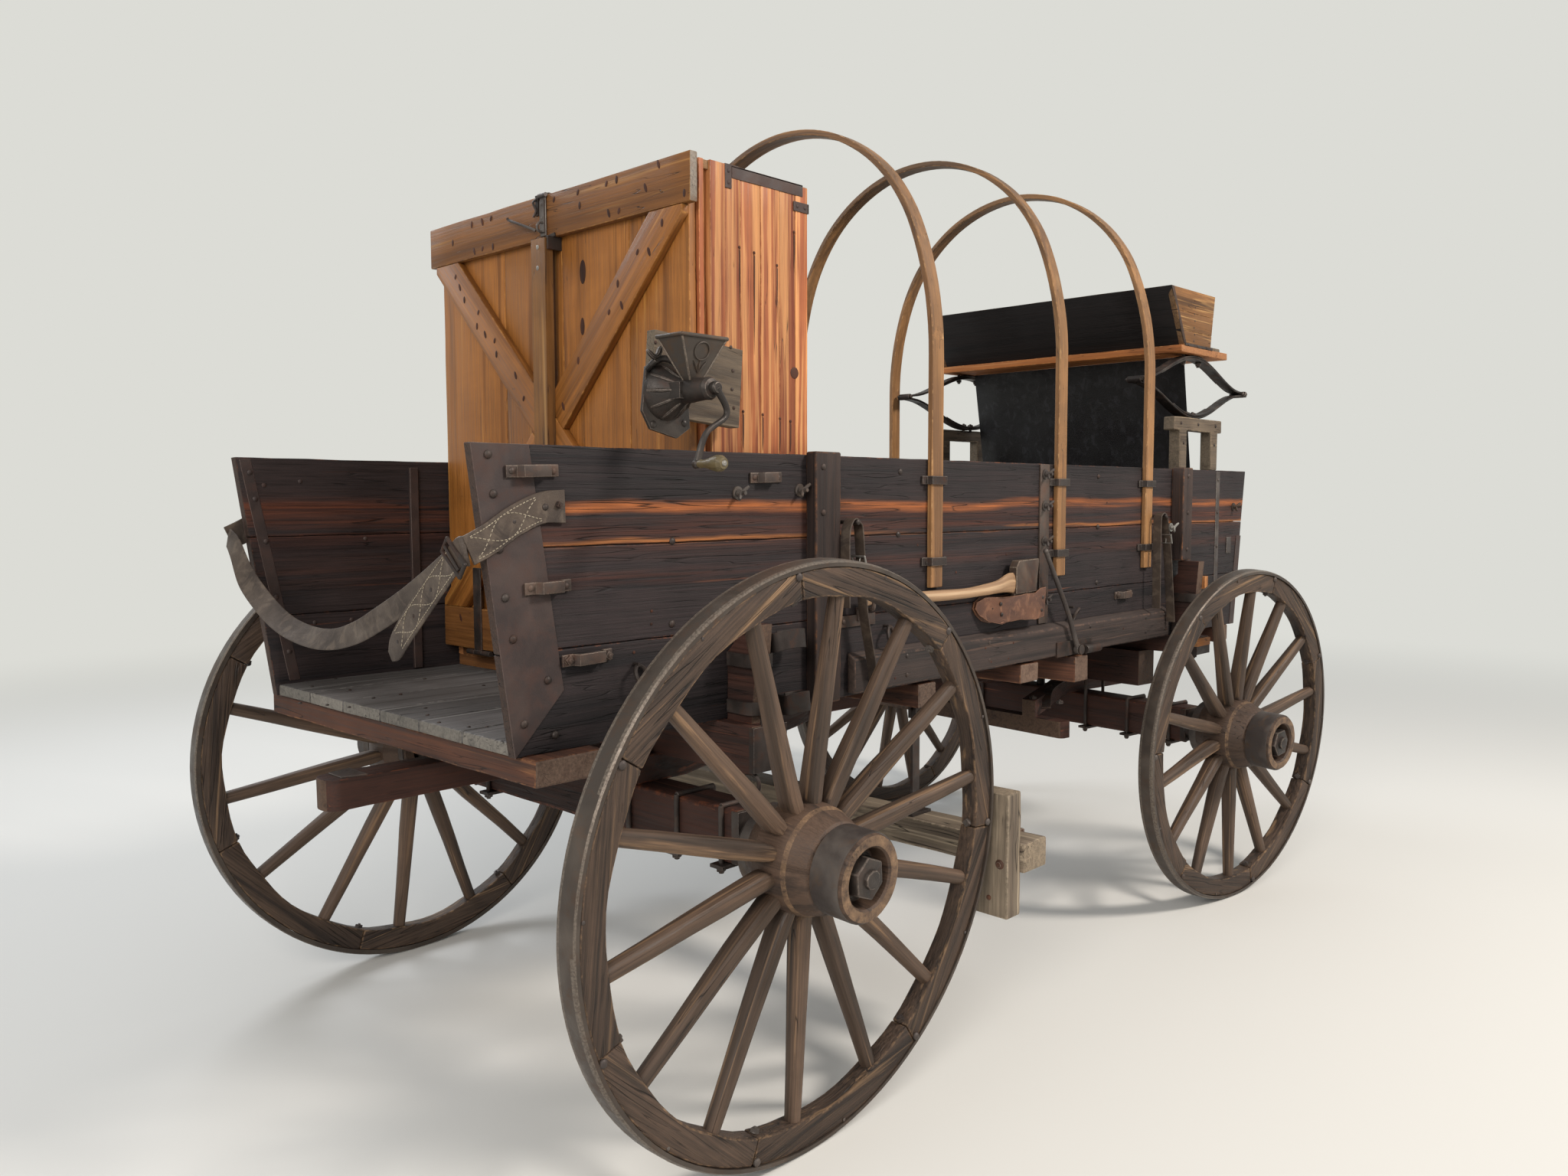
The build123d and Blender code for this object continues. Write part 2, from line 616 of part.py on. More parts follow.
keep("front_hounds", turned(hounds_and_bar.part))

king_bottom = FRONT_AXLE_Z[0] - KING_HEAD_T
with BuildPart() as king_bolt:
    with BuildSketch(Plane.XY.offset(king_bottom)):
        with Locations((KING_X, 0)):
            Circle(KING_BOLT_R)
    extrude(amount=BOX_BOTTOM_Z - king_bottom)
    with BuildSketch(Plane.XY.offset(king_bottom)):
        with Locations((KING_X, 0)):
            Circle(KING_HEAD_R)
    extrude(amount=KING_HEAD_T - TURNTABLE_GAP)
keep("king_bolt", king_bolt.part)

# Box: sills, floor, sides
block_x = REAR_X + REAR_WHEEL_R + BRAKE_GAP
brake_x = block_x + BRAKE_BLOCK[0] + BRAKE_BEAM_W / 2
# columns: middle x, width along x, overhang past the box's side, depth below the floor
sill_table = (
    (-1547.0, 163.0, 44.0, 54.0),
    (brake_x, 80.0, 19.0, BRAKE_SILL_DEPTH),
    (135.0, 100.0, 19.0, 57.0),
    (397.0, 78.0, 44.0, 82.0),
    (1540.0, 110.0, 0.0, 60.0),
)
with BuildPart() as cross_sills:
    for middle_x, width, overhang, depth in sill_table:
        beam(around(middle_x, width), (-BOX_HALF_Y - overhang, BOX_HALF_Y + overhang),
             (BOX_BOTTOM_Z - depth, BOX_BOTTOM_Z))
keep("cross_sills", cross_sills.part)

floor_half_y = BOX_HALF_IN - FLOOR_SIDE_GAP
floor_pitch = (2 * floor_half_y + FLOOR_GAP) / FLOOR_BOARDS
with BuildPart() as floor_boards:
    for index in range(FLOOR_BOARDS):
        low_y = -floor_half_y + index * floor_pitch
        beam((-FLOOR_HALF_X, FLOOR_HALF_X), (low_y, low_y + floor_pitch - FLOOR_GAP),
             (BOX_BOTTOM_Z, FLOOR_TOP_Z))
keep("floor_boards", floor_boards.part)

board_edges = (BOX_BOTTOM_Z, *SIDE_SEAMS_Z, BOX_TOP_Z)
for name, plane in (("right_side", Plane.XZ.offset(BOX_HALF_IN)), ("left_side", Plane.XZ.offset(-BOX_HALF_Y))):
    with BuildPart() as side_boards:
        for low, high in zip(board_edges, board_edges[1:]):
            low_z = low if low == BOX_BOTTOM_Z else low + SEAM_GAP / 2
            high_z = high if high == BOX_TOP_Z else high - SEAM_GAP / 2
            with BuildSketch(plane):
                with BuildLine():
                    Polyline((-side_end_x(low_z), low_z), (side_end_x(low_z), low_z),
                             (side_end_x(high_z), high_z), (-side_end_x(high_z), high_z), close=True)
                make_face()
            extrude(amount=BOARD_T)
    keep(name, side_boards.part)

with BuildPart() as headboard:
    beam((HEADBOARD_X, HEADBOARD_X + HEADBOARD_T), (-floor_half_y, floor_half_y),
         (FLOOR_TOP_Z, HEADBOARD_TOP_Z))
keep("headboard", headboard.part)

# columns: middle x, width, thickness, foot z, top above the side
cleat_table = (
    (-785.0, 90.0, 32.0, 872.0, 7.0),
    (1123.0, 74.0, 45.0, FRONT_STAKE_TOP + 2, 3.0),
)
with BuildPart() as side_cleats:
    for middle_x, width, thickness, foot_z, rise in cleat_table:
        beam(around(middle_x, width), (-BOX_HALF_Y - thickness, -BOX_HALF_Y), (foot_z, BOX_TOP_Z + rise))
    mirror(about=Plane.XZ)
keep("side_cleats", side_cleats.part)

with BuildPart() as outer_boards:
    with BuildSketch(Plane.YZ.offset(OUTER_BOARD_X[0])):
        with BuildLine():
            Polyline((-BOX_HALF_Y, OUTER_BOARD_Z[0]), (-BOX_HALF_Y - OUTER_BOARD_T, OUTER_BOARD_Z[0]),
                     (-BOX_HALF_Y - OUTER_BOARD_T, OUTER_BOARD_Z[1] - OUTER_BOARD_BEVEL),
                     (-BOX_HALF_Y, OUTER_BOARD_Z[1]), close=True)
        make_face()
    extrude(amount=OUTER_BOARD_X[1] - OUTER_BOARD_X[0])
    mirror(about=Plane.XZ)
keep("outer_boards", outer_boards.part)

with BuildPart() as corner_plates:
    with BuildSketch(Plane.XZ.offset(BOX_HALF_Y)):
        with BuildLine():
            Polyline((-side_end_x(BOX_BOTTOM_Z), BOX_BOTTOM_Z), (-side_end_x(BOX_TOP_Z), BOX_TOP_Z),
                     (-side_end_x(BOX_TOP_Z) + PLATE_TOP_W, BOX_TOP_Z),
                     (-side_end_x(PLATE_TOE_Z) + PLATE_TOE_W, PLATE_TOE_Z), close=True)
        make_face()
    extrude(amount=PLATE_T)
    front_strip = ((side_end_x(BOX_BOTTOM_Z), BOX_BOTTOM_Z),
                   (side_end_x(FRONT_PLATE_TOP_Z), FRONT_PLATE_TOP_Z),
                   (side_end_x(FRONT_PLATE_TOP_Z) - FRONT_PLATE_W, FRONT_PLATE_TOP_Z),
                   (side_end_x(BOX_BOTTOM_Z) - FRONT_PLATE_W, BOX_BOTTOM_Z))
    add(panel(front_strip, BOX_HALF_Y, PLATE_T))
    mirror(about=Plane.XZ)
keep("corner_plates", corner_plates.part)

# Bows, with their legs down the outside of the box
bow_half = BOX_HALF_Y + BOW_SEAT_GAP + BOW_T / 2
bow_side_r = bow_half + BOW_FLANK
bow_top_r = bow_half - BOW_SHOULDER
bow_turn = degrees(acos(BOW_FLANK / (BOW_FLANK + BOW_SHOULDER)))
bow_top_rise = (BOW_FLANK + BOW_SHOULDER) * sin(radians(bow_turn))


def bow_outline(spring_z, offset):
    """Draw half a bow's line, from the foot of its leg to the crown."""
    foot = Line((bow_half + offset, BOW_FOOT_Z), (bow_half + offset, spring_z))
    flank = CenterArc((-BOW_FLANK, spring_z), bow_side_r + offset, 0, bow_turn)
    crown = CenterArc((0, spring_z + bow_top_rise), bow_top_r + offset, bow_turn, 90 - bow_turn)
    return foot, flank, crown


with BuildPart() as bows:
    for bow_x, spring_z in zip(BOW_X, BOW_SPRING_Z):
        with BuildSketch(Plane.YZ.offset(bow_x - BOW_W / 2)):
            with BuildLine():
                bow_outline(spring_z, BOW_T / 2)
                bow_outline(spring_z, -BOW_T / 2)
                Line((bow_half - BOW_T / 2, BOW_FOOT_Z), (bow_half + BOW_T / 2, BOW_FOOT_Z))
                crown_z = spring_z + bow_top_rise + bow_top_r
                Line((0, crown_z - BOW_T / 2), (0, crown_z + BOW_T / 2))
            make_face()
            mirror(about=Plane.YZ)
        extrude(amount=BOW_W)
keep("bows", bows.part)

staple_out = BOX_HALF_Y + BOW_SEAT_GAP + BOW_T + 1
with BuildPart() as bow_staples:
    for bow_x in BOW_X:
        for staple_z in STAPLE_Z:
            z_range = around(staple_z, STAPLE_W)
            inner = BOW_W / 2 + 1
            beam(around(bow_x, 2 * inner + 2 * STAPLE_T), (-staple_out - STAPLE_T, -staple_out), z_range)
            for end in (-1, 1):
                leg_x = bow_x + end * (inner + STAPLE_T / 2)
                beam(around(leg_x, STAPLE_T), (-staple_out, -BOX_HALF_Y), z_range)
                beam(around(leg_x + end * STAPLE_EAR / 2, STAPLE_EAR), (-BOX_HALF_Y - STAPLE_T, -BOX_HALF_Y),
                     z_range)
    mirror(about=Plane.XZ)
keep("bow_staples", bow_staples.part)

# Irons on the sides
# columns: middle x, middle z, length
keeper_table = (
    (-1598.0, 1416.0, 116.0),
    (-1567.0, 1195.0, 105.0),
    (-1477.0, 1050.0, 120.0),
    (-968.0, 1411.0, 100.0),
    (735.0, 1041.0, 110.0),
)
keeper_out = BOX_HALF_Y + KEEPER_T
with BuildPart() as side_irons:
    for middle_x, middle_z, length in keeper_table:
        beam(around(middle_x, length), (-keeper_out, -keeper_out + IRON_T), around(middle_z, KEEPER_H))
        for end in (-1, 1):
            beam(around(middle_x + end * (length / 2 - IRON_T / 2), IRON_T),
                 (-keeper_out, -BOX_HALF_Y), around(middle_z, KEEPER_H))
    beam(AXE_SHELF_X, (-BOX_HALF_Y - IRON_T, -BOX_HALF_Y), AXE_SHELF_Z)
    beam(AXE_HOOK_X, (-BOX_HALF_Y - AXE_OUT - AXE_HANDLE_T / 2, -BOX_HALF_Y),
         (AXE_HOOK_Z - IRON_T, AXE_HOOK_Z))
    beam(AXE_HOOK_X, (-BOX_HALF_Y - IRON_T, -BOX_HALF_Y), (AXE_SHELF_Z[1], AXE_HOOK_Z))
    beam(STRAP_IRON_X, (-BOX_HALF_Y - IRON_T, -BOX_HALF_Y), (OUTER_BOARD_Z[1], BOX_TOP_Z))
    mirror(about=Plane.XZ)
    add(corner_plates.part, mode=Mode.SUBTRACT)
keep("side_irons", side_irons.part)

# Chuck box: carcass with shelves, open to the rear
inner_y = CHUCK_HALF_Y - CHUCK_T
with BuildPart() as chuck_box:
    beam(CHUCK_X, (-CHUCK_HALF_Y, CHUCK_HALF_Y), CHUCK_Z)
    beam((CHUCK_X[0] - 1, CHUCK_X[1] - CHUCK_BACK_T), (-inner_y, inner_y),
         (CHUCK_Z[0] + CHUCK_T, CHUCK_Z[1] - CHUCK_T), mode=Mode.SUBTRACT)
    for shelf_z in CHUCK_SHELVES_Z:
        beam((CHUCK_X[0], CHUCK_X[1] - CHUCK_BACK_T), (-inner_y, inner_y), around(shelf_z, CHUCK_BACK_T))
    for low, high, at_y in CHUCK_DIVIDERS:
        beam((CHUCK_X[0], CHUCK_X[1] - CHUCK_BACK_T), around(at_y, CHUCK_BACK_T), (low, high))
    for runner_x in (CHUCK_X[0] + RUNNER_W / 2, CHUCK_X[1] - RUNNER_W / 2):
        beam(around(runner_x, RUNNER_W), (-CHUCK_HALF_Y, CHUCK_HALF_Y), (FLOOR_TOP_Z, CHUCK_Z[0]))
keep("chuck_box", chuck_box.part)

# Lid of the chuck box, which folds down into a table
lid_edges_y = (-LID_HALF_Y, *LID_SEAMS_Y, LID_HALF_Y)
with BuildPart() as lid_boards:
    for low_y, high_y in zip(lid_edges_y, lid_edges_y[1:]):
        beam((LID_BACK_X - LID_T, LID_BACK_X), (low_y + LID_SEAM / 2, high_y - LID_SEAM / 2), LID_Z)
keep("lid_boards", lid_boards.part)

brace_x = HINGE_X
rail_z = (LID_Z[1] - RAIL_H, LID_Z[1])
low_rail_z = (LID_Z[0], LID_Z[0] + BOTTOM_RAIL_H)
with BuildPart() as lid_braces:
    beam((brace_x, brace_x + RAIL_T), (-RAIL_HALF_Y, RAIL_HALF_Y), rail_z)
    beam((brace_x, brace_x + RAIL_T), (-LID_HALF_Y, LID_HALF_Y), low_rail_z)
    brace_run = rail_z[0] - low_rail_z[1]
    brace_tilt = degrees(acos(brace_run / (brace_run ** 2 + (2 * LID_HALF_Y - BRACE_W) ** 2) ** 0.5))
    for turn in (-1, 1):
        with BuildSketch(Plane.YZ.offset(brace_x)):
            with Locations(Location((0, (rail_z[0] + low_rail_z[1]) / 2, 0), (0, 0, turn * brace_tilt))):
                Rectangle(BRACE_W, 2 * brace_run)
            with Locations((0, (rail_z[0] + low_rail_z[1]) / 2)):
                Rectangle(2 * LID_HALF_Y, brace_run + 1, mode=Mode.INTERSECT)
        extrude(amount=RAIL_T)
keep("lid_braces", lid_braces.part)

with BuildPart() as lid_hinges:
    for hinge_y in HINGE_Y:
        with Locations(lying(HINGE_X, hinge_y, HINGE_Z)):
            Cylinder(HINGE_EYE_R, HINGE_EYE_L)
        beam((HINGE_X - HINGE_STRAP_T, HINGE_X), around(hinge_y, HINGE_EYE_L), (HINGE_Z, HINGE_STRAP_TOP))
        with Locations(lying(HINGE_X, hinge_y, HINGE_Z)):
            Cylinder(HINGE_PIN_R + HINGE_FIT, 2 * HINGE_EYE_L, mode=Mode.SUBTRACT)
keep("lid_hinges", lid_hinges.part)

with BuildPart() as box_hinges:
    for hinge_y in HINGE_Y:
        for end in (-1, 1):
            ear_y = hinge_y + end * (HINGE_EYE_L + 1)
            with Locations(lying(HINGE_X, ear_y, HINGE_Z)):
                Cylinder(HINGE_EYE_R, HINGE_EYE_L)
            beam((HINGE_X, CHUCK_X[0]), around(ear_y, HINGE_EYE_L),
                 (HINGE_Z - HINGE_EYE_R, HINGE_Z - HINGE_EYE_R + HINGE_STRAP_T))
        with Locations(lying(HINGE_X, hinge_y, HINGE_Z)):
            Cylinder(HINGE_PIN_R, HINGE_EYE_L + 20)
keep("box_hinges", box_hinges.part)

with BuildPart() as lid_hasp:
    beam((HINGE_X - HINGE_STRAP_T, HINGE_X), around(HASP_Y, HASP_W),
         (rail_z[0] + HASP_RISE, LID_Z[1] + HINGE_STRAP_T))
    beam((HINGE_X, LID_BACK_X), around(HASP_Y, HASP_W), (LID_Z[1], LID_Z[1] + HINGE_STRAP_T))
keep("lid_hasp", lid_hasp.part)

leg_top = rail_z[0] - 4
leg_axis = (brace_x - LEG_T / 2, leg_top - LEG_HINGE_DROP)
leg_reach = HINGE_Z - (HINGE_X - leg_axis[0]) - LEG_FOOT_GAP
with BuildPart() as table_leg:
    beam((brace_x - LEG_T, brace_x - 0.3), around(LEG_Y, LEG_W), (leg_axis[1] - leg_reach, leg_top))
    with Locations(lying(leg_axis[0], LEG_Y, leg_axis[1])):
        Cylinder(HINGE_PIN_R + HINGE_FIT, 2 * LEG_W, mode=Mode.SUBTRACT)
keep("table_leg", table_leg.part)

with BuildPart() as leg_hinge:
    for end in (-1, 1):
        beam((leg_axis[0] - HINGE_EYE_R, LID_BACK_X - LID_T), around(LEG_Y + end * (LEG_W / 2 + 4), 6),
             (leg_axis[1] - HINGE_EYE_R, rail_z[0]))
    with Locations(lying(leg_axis[0], LEG_Y, leg_axis[1])):
        Cylinder(HINGE_PIN_R, LEG_W + 8)
keep("leg_hinge", leg_hinge.part)

# Coffee mill
mill_board_y = RAIL_HALF_Y + MILL_BOARD_GAP
mill_wall_y = mill_board_y + MILL_BOARD[1]
with BuildPart() as mill_board:
    with Locations(Location((MILL_BOARD_CENTRE[0], -mill_board_y - MILL_BOARD[1] / 2, MILL_BOARD_CENTRE[1]),
                            (0, MILL_BOARD_TILT, 0))):
        Box(*MILL_BOARD)
    beam((CHUCK_X[0], CHUCK_X[0] + MILL_BLOCK_W), (-mill_board_y, -CHUCK_HALF_Y), MILL_BLOCK_Z)
keep("mill_board", mill_board.part)

barrel_end_y = mill_wall_y + MILL_BARREL_L
hopper_y = mill_wall_y + HOPPER_OUT
with BuildPart() as mill_body:
    with Locations(Location((MILL_SHAFT_X, -mill_wall_y - MILL_BARREL_L / 2, MILL_SHAFT_Z), (90, 0, 0))):
        Cylinder(MILL_BARREL_R, MILL_BARREL_L)
    with BuildSketch(Plane.XY.offset(MILL_SHAFT_Z + MILL_BARREL_R / 2)):
        with Locations((MILL_SHAFT_X, -hopper_y)):
            Rectangle(*HOPPER_FOOT)
    with BuildSketch(Plane.XY.offset(HOPPER_TOP_Z)):
        with Locations((MILL_SHAFT_X, -hopper_y)):
            Rectangle(*HOPPER_TOP)
    loft()
    with BuildSketch(Plane.XY.offset(HOPPER_TOP_Z)):
        with Locations((MILL_SHAFT_X, -hopper_y)):
            RectangleRounded(HOPPER_TOP[0] + 14, HOPPER_TOP[1] + 14, 8)
    extrude(amount=HOPPER_LIP_T)
keep("mill_body", mill_body.part)

crank_y = barrel_end_y + CRANK_GAP + CRANK_R
knob_at = (MILL_SHAFT_X + CRANK_DROP[0], MILL_SHAFT_Z + CRANK_DROP[1])
with BuildPart() as mill_crank:
    with BuildLine(Plane.XZ.offset(crank_y)) as crank_line:
        Spline((MILL_SHAFT_X, MILL_SHAFT_Z), (MILL_SHAFT_X + 26, MILL_SHAFT_Z - 50),
               (knob_at[0] + 12, knob_at[1] + 45), knob_at)
    with BuildSketch(Plane(origin=crank_line.line @ 0, z_dir=crank_line.line % 0)):
        Circle(CRANK_R)
    sweep()
    with Locations(Location((MILL_SHAFT_X, -barrel_end_y - (CRANK_GAP + 2 * CRANK_R) / 2 - 0.3, MILL_SHAFT_Z),
                            (90, 0, 0))):
        Cylinder(MILL_SHAFT_R + 4, CRANK_GAP + 2 * CRANK_R)
    with Locations(Location((knob_at[0], -crank_y - KNOB_L / 2, knob_at[1]), (90, 0, 0))):
        Cylinder(KNOB_R, KNOB_L)
keep("mill_crank", mill_crank.part)

# Brake: a beam with two blocks, swinging under the box, and its hand lever
with BuildPart() as brake_beam:
    for side in (-1, 1):
        beam((block_x, block_x + BRAKE_BLOCK[0]), around(side * TRACK / 2, BRAKE_BLOCK[1]),
             (BRAKE_BLOCK_Z, BRAKE_BLOCK_Z + BRAKE_BLOCK[2]))
    beam((block_x + BRAKE_BLOCK[0], block_x + BRAKE_BLOCK[0] + BRAKE_BEAM_W),
         (-TRACK / 2 - BRAKE_BEAM_PAST, TRACK / 2 + BRAKE_BEAM_PAST), BRAKE_BEAM_Z)
keep("brake_beam", brake_beam.part)

with BuildPart() as brake_links:
    for side in (-1, 1):
        link_y = around(side * BRAKE_LINK_Y, BRAKE_LINK[1])
        beam(around(brake_x, BRAKE_LINK[0]), link_y, (BRAKE_BEAM_Z[1], BRAKE_HINGE_Z))
        beam(around(brake_x, BRAKE_FOOT[0]), around(side * BRAKE_LINK_Y, BRAKE_FOOT[1]),
             (BRAKE_BEAM_Z[1], BRAKE_BEAM_Z[1] + BRAKE_LINK[1]))
        with Locations(lying(brake_x, side * BRAKE_LINK_Y, BRAKE_HINGE_Z)):
            Cylinder(BRAKE_LINK[0] / 2, BRAKE_LINK[1])
            Cylinder(BRAKE_PIN_R + HINGE_FIT, 2 * BRAKE_LINK[1], mode=Mode.SUBTRACT)
keep("brake_links", brake_links.part)

plate_y = BOX_HALF_Y + OUTER_BOARD_T + IRON_T
lever_y = plate_y + LEVER_PLATE_GAP + LEVER_EYE_T / 2
pivot_x, pivot_z = LEVER_POINTS[0]
with BuildPart() as brake_brackets:
    for side in (-1, 1):
        for end in (-1, 1):
            ear_y = side * BRAKE_LINK_Y + end * (BRAKE_LINK[1] + 1)
            beam(around(brake_x, BRAKE_LINK[0]), around(ear_y, BRAKE_LINK[1]),
                 (BRAKE_HINGE_Z - BRAKE_LINK[0] / 2, BOX_BOTTOM_Z - BRAKE_SILL_DEPTH))
        with Locations(lying(brake_x, side * BRAKE_LINK_Y, BRAKE_HINGE_Z)):
            Cylinder(BRAKE_PIN_R, 4 * BRAKE_LINK[1])
    beam(BRACKET_X, (-plate_y, -plate_y + IRON_T), BRACKET_Z)
    with BuildSketch(Plane.YZ.offset(BRACKET_ROLL_X[0])):
        with Locations((-plate_y - BRACKET_ROLL_R + 1, BRACKET_Z[0] + BRACKET_ROLL_R)):
            Circle(BRACKET_ROLL_R)
    extrude(amount=BRACKET_ROLL_X[1] - BRACKET_ROLL_X[0])
    with BuildSketch(Plane.XZ.offset(plate_y)):
        with Locations((pivot_x, pivot_z)):
            Circle(LEVER_PIN_R)
    extrude(amount=LEVER_PLATE_GAP + LEVER_EYE_T + 1)
    with BuildSketch(Plane.XZ.offset(plate_y + LEVER_PLATE_GAP + LEVER_EYE_T + 1)):
        with Locations((pivot_x, pivot_z)):
            Circle(LEVER_EYE_R)
    extrude(amount=IRON_T)
keep("brake_brackets", brake_brackets.part)

with BuildPart() as brake_lever:
    add(rod([(x, -lever_y, z) for x, z in LEVER_POINTS], LEVER_R))
    with Locations(lying(pivot_x, -lever_y, pivot_z)):
        Cylinder(LEVER_EYE_R, LEVER_EYE_T)
        Cylinder(LEVER_PIN_R + HINGE_FIT, 2 * LEVER_EYE_T, mode=Mode.SUBTRACT)
keep("brake_lever", brake_lever.part)

# Straps on the sides and across the open tail
strap_out = BOX_HALF_Y + PLATE_T + STRAP_T
with BuildPart() as side_straps:
    strap_end = [(x - BOX_HALF_X, z) for x, z in STRAP_END]
    add(panel(strap_end, BOX_HALF_Y + PLATE_T, STRAP_T))
    mirror(about=Plane.XZ)
    strap_in = BOX_HALF_Y + OUTER_BOARD_T + 1
    for peg, path in HANGING_STRAPS:
        with BuildSketch(Plane.XZ.offset(strap_in)):
            with BuildLine():
                Polyline(*path)
            trace(line_width=STRAP_T)
        extrude(amount=HANGING_STRAP_W)
        with BuildSketch(Plane.XZ.offset(BOX_HALF_Y)):
            with Locations(peg):
                Circle(STRAP_PEG_R)
        extrude(amount=strap_in + HANGING_STRAP_W - BOX_HALF_Y)
keep("side_straps", side_straps.part)

tail_strap_x = -BOX_HALF_X - TAIL_STRAP_BACK
with BuildPart() as tail_strap:
    with BuildSketch(Plane.YZ.offset(tail_strap_x - STRAP_T / 2)):
        with BuildLine():
            low_line = [(y, z - TAIL_STRAP_W / 2) for y, z in TAIL_STRAP_LINE]
            top_line = [(y, z + TAIL_STRAP_W / 2) for y, z in TAIL_STRAP_LINE]
            Spline(*low_line)
            Spline(*top_line)
            Line(low_line[0], top_line[0])
            Line(low_line[-1], top_line[-1])
        make_face()
    extrude(amount=STRAP_T)
    with BuildSketch(Plane.YZ.offset(tail_strap_x - 3 * STRAP_T / 2)):
        with BuildLine():
            Polyline(*TAIL_TONGUE, close=True)
        make_face()
    extrude(amount=STRAP_T)
keep("tail_strap", tail_strap.part)

# Axe, lying on a hook with its head in a leather pouch
axe_y = BOX_HALF_Y + AXE_OUT
with BuildPart() as axe_handle:
    add(panel(AXE_HANDLE, axe_y - AXE_HANDLE_T / 2, AXE_HANDLE_T))
keep("axe_handle", axe_handle.part)

with BuildPart() as axe_head:
    add(panel(AXE_HEAD, axe_y - AXE_HEAD_T / 2, AXE_HEAD_T))
    add(panel(AXE_BLADE, axe_y - AXE_BLADE_T / 2, AXE_BLADE_T))
keep("axe_head", axe_head.part)

holder_depth = 2 * AXE_OUT
with BuildPart() as axe_holder:
    add(panel(HOLDER, BOX_HALF_Y, holder_depth))
    beam(HOLDER_HOLLOW_X, (-BOX_HALF_Y - holder_depth + HOLDER_T, -BOX_HALF_Y - HOLDER_T),
         (HOLDER_FLOOR_Z, HOLDER_FLOOR_Z + CUT_L), mode=Mode.SUBTRACT)
keep("axe_holder", axe_holder.part)

# Seat: risers on the sides, elliptic springs, bench
with BuildPart() as seat_risers:
    riser_y = (-BOX_HALF_Y, -BOX_HALF_Y + RISER_POST_T)
    beam(RISER_X, riser_y, RISER_Z)
    for post_x in RISER_POSTS_X:
        beam(around(post_x, RISER_POST_W), riser_y, (BOX_TOP_Z, RISER_Z[0]))
    mirror(about=Plane.XZ)
keep("seat_risers", seat_risers.part)

spring_mid_x = sum(SPRING_EYES_X) / 2
spring_half_l = (SPRING_EYES_X[1] - SPRING_EYES_X[0]) / 2
spring_mid_z = (RISER_Z[1] + SEAT_BOTTOM_Z) / 2
spring_half_h = (SEAT_BOTTOM_Z - RISER_Z[1]) / 2


def leaf_points(height, end_height, flip):
    """Give points along one face of a spring leaf that curls back near its eyes."""
    points = []
    for step in range(-4, 5):
        swell = (1 + cos(radians(45 * step))) / 2
        points.append((spring_mid_x + step / 4 * spring_half_l,
                       spring_mid_z + flip * (end_height + (height - end_height) * swell)))
    return points


with BuildPart() as seat_springs:
    for flip, leaf_t in ((1, SPRING_TOP_T), (-1, SPRING_LOW_T)):
        lower_face = leaf_points(spring_half_h - leaf_t, SPRING_END_GAP, flip)
        upper_face = leaf_points(spring_half_h, SPRING_END_GAP + leaf_t / 2, flip)
        with BuildSketch(Plane.XZ.offset(SPRING_Y - SPRING_W / 2)):
            with BuildLine():
                Spline(*lower_face)
                Spline(*upper_face)
                Line(lower_face[0], upper_face[0])
                Line(lower_face[-1], upper_face[-1])
            make_face()
        extrude(amount=SPRING_W)
    for eye_x in SPRING_EYES_X:
        with Locations(lying(eye_x, -SPRING_Y, spring_mid_z)):
            Cylinder(SPRING_EYE_R, SPRING_W)
    mirror(about=Plane.XZ)
keep("seat_springs", seat_springs.part)

apron_half_y = SPRING_Y - SPRING_W / 2 - APRON_GAP
with BuildPart() as seat_apron:
    with BuildSketch(Plane.XZ.offset(-apron_half_y)):
        with BuildLine():
            Polyline((APRON_TOP_X, SEAT_BOTTOM_Z), (APRON_TOP_X + APRON_T, SEAT_BOTTOM_Z),
                     (APRON_FOOT[0] + APRON_T, APRON_FOOT[1]), APRON_FOOT, close=True)
        make_face()
    extrude(amount=2 * apron_half_y)
keep("seat_apron", seat_apron.part)

seat_top_z = SEAT_BOTTOM_Z + SEAT_BOARD_T
seat_in_y = SEAT_HALF_Y - SEAT_END_T - 1
with BuildPart() as seat_plank:
    beam(PLANK_X, (-seat_in_y, seat_in_y), (seat_top_z, seat_top_z + PLANK_T))
keep("seat_plank", seat_plank.part)

with BuildPart() as seat_bench:
    beam(SEAT_X, (-SEAT_HALF_Y, SEAT_HALF_Y), (SEAT_BOTTOM_Z, seat_top_z))
    with BuildSketch(Plane.XZ.offset(SEAT_HALF_Y - SEAT_END_T)):
        with BuildLine():
            Polyline((SEAT_BACK_FOOT_X, seat_top_z), SEAT_BACK_TOP, (SEAT_END_FRONT[0], SEAT_BACK_TOP[1]),
                     (SEAT_END_FRONT[1], seat_top_z), close=True)
        make_face()
    extrude(amount=SEAT_END_T)
    mirror(about=Plane.XZ)
    with BuildSketch(Plane.XZ.offset(-SEAT_HALF_Y + SEAT_END_T)):
        with BuildLine():
            Polyline((SEAT_BACK_FOOT_X, seat_top_z), SEAT_BACK_TOP,
                     (SEAT_BACK_TOP[0] + SEAT_END_T, SEAT_BACK_TOP[1]),
                     (SEAT_BACK_FOOT_X + SEAT_END_T, seat_top_z), close=True)
        make_face()
    extrude(amount=2 * (SEAT_HALF_Y - SEAT_END_T))
keep("seat_bench", seat_bench.part)

for name, shape in nodes.items():
    export_step(shape, f"parts/{name}.step")

whole = Compound(children=list(nodes.values())).bounding_box()
print("nodes", len(nodes), "box", whole.min, whole.max)
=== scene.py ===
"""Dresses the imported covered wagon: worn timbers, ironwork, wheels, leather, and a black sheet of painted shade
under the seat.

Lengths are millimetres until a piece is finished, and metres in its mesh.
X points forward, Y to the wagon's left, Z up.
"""
from __future__ import annotations

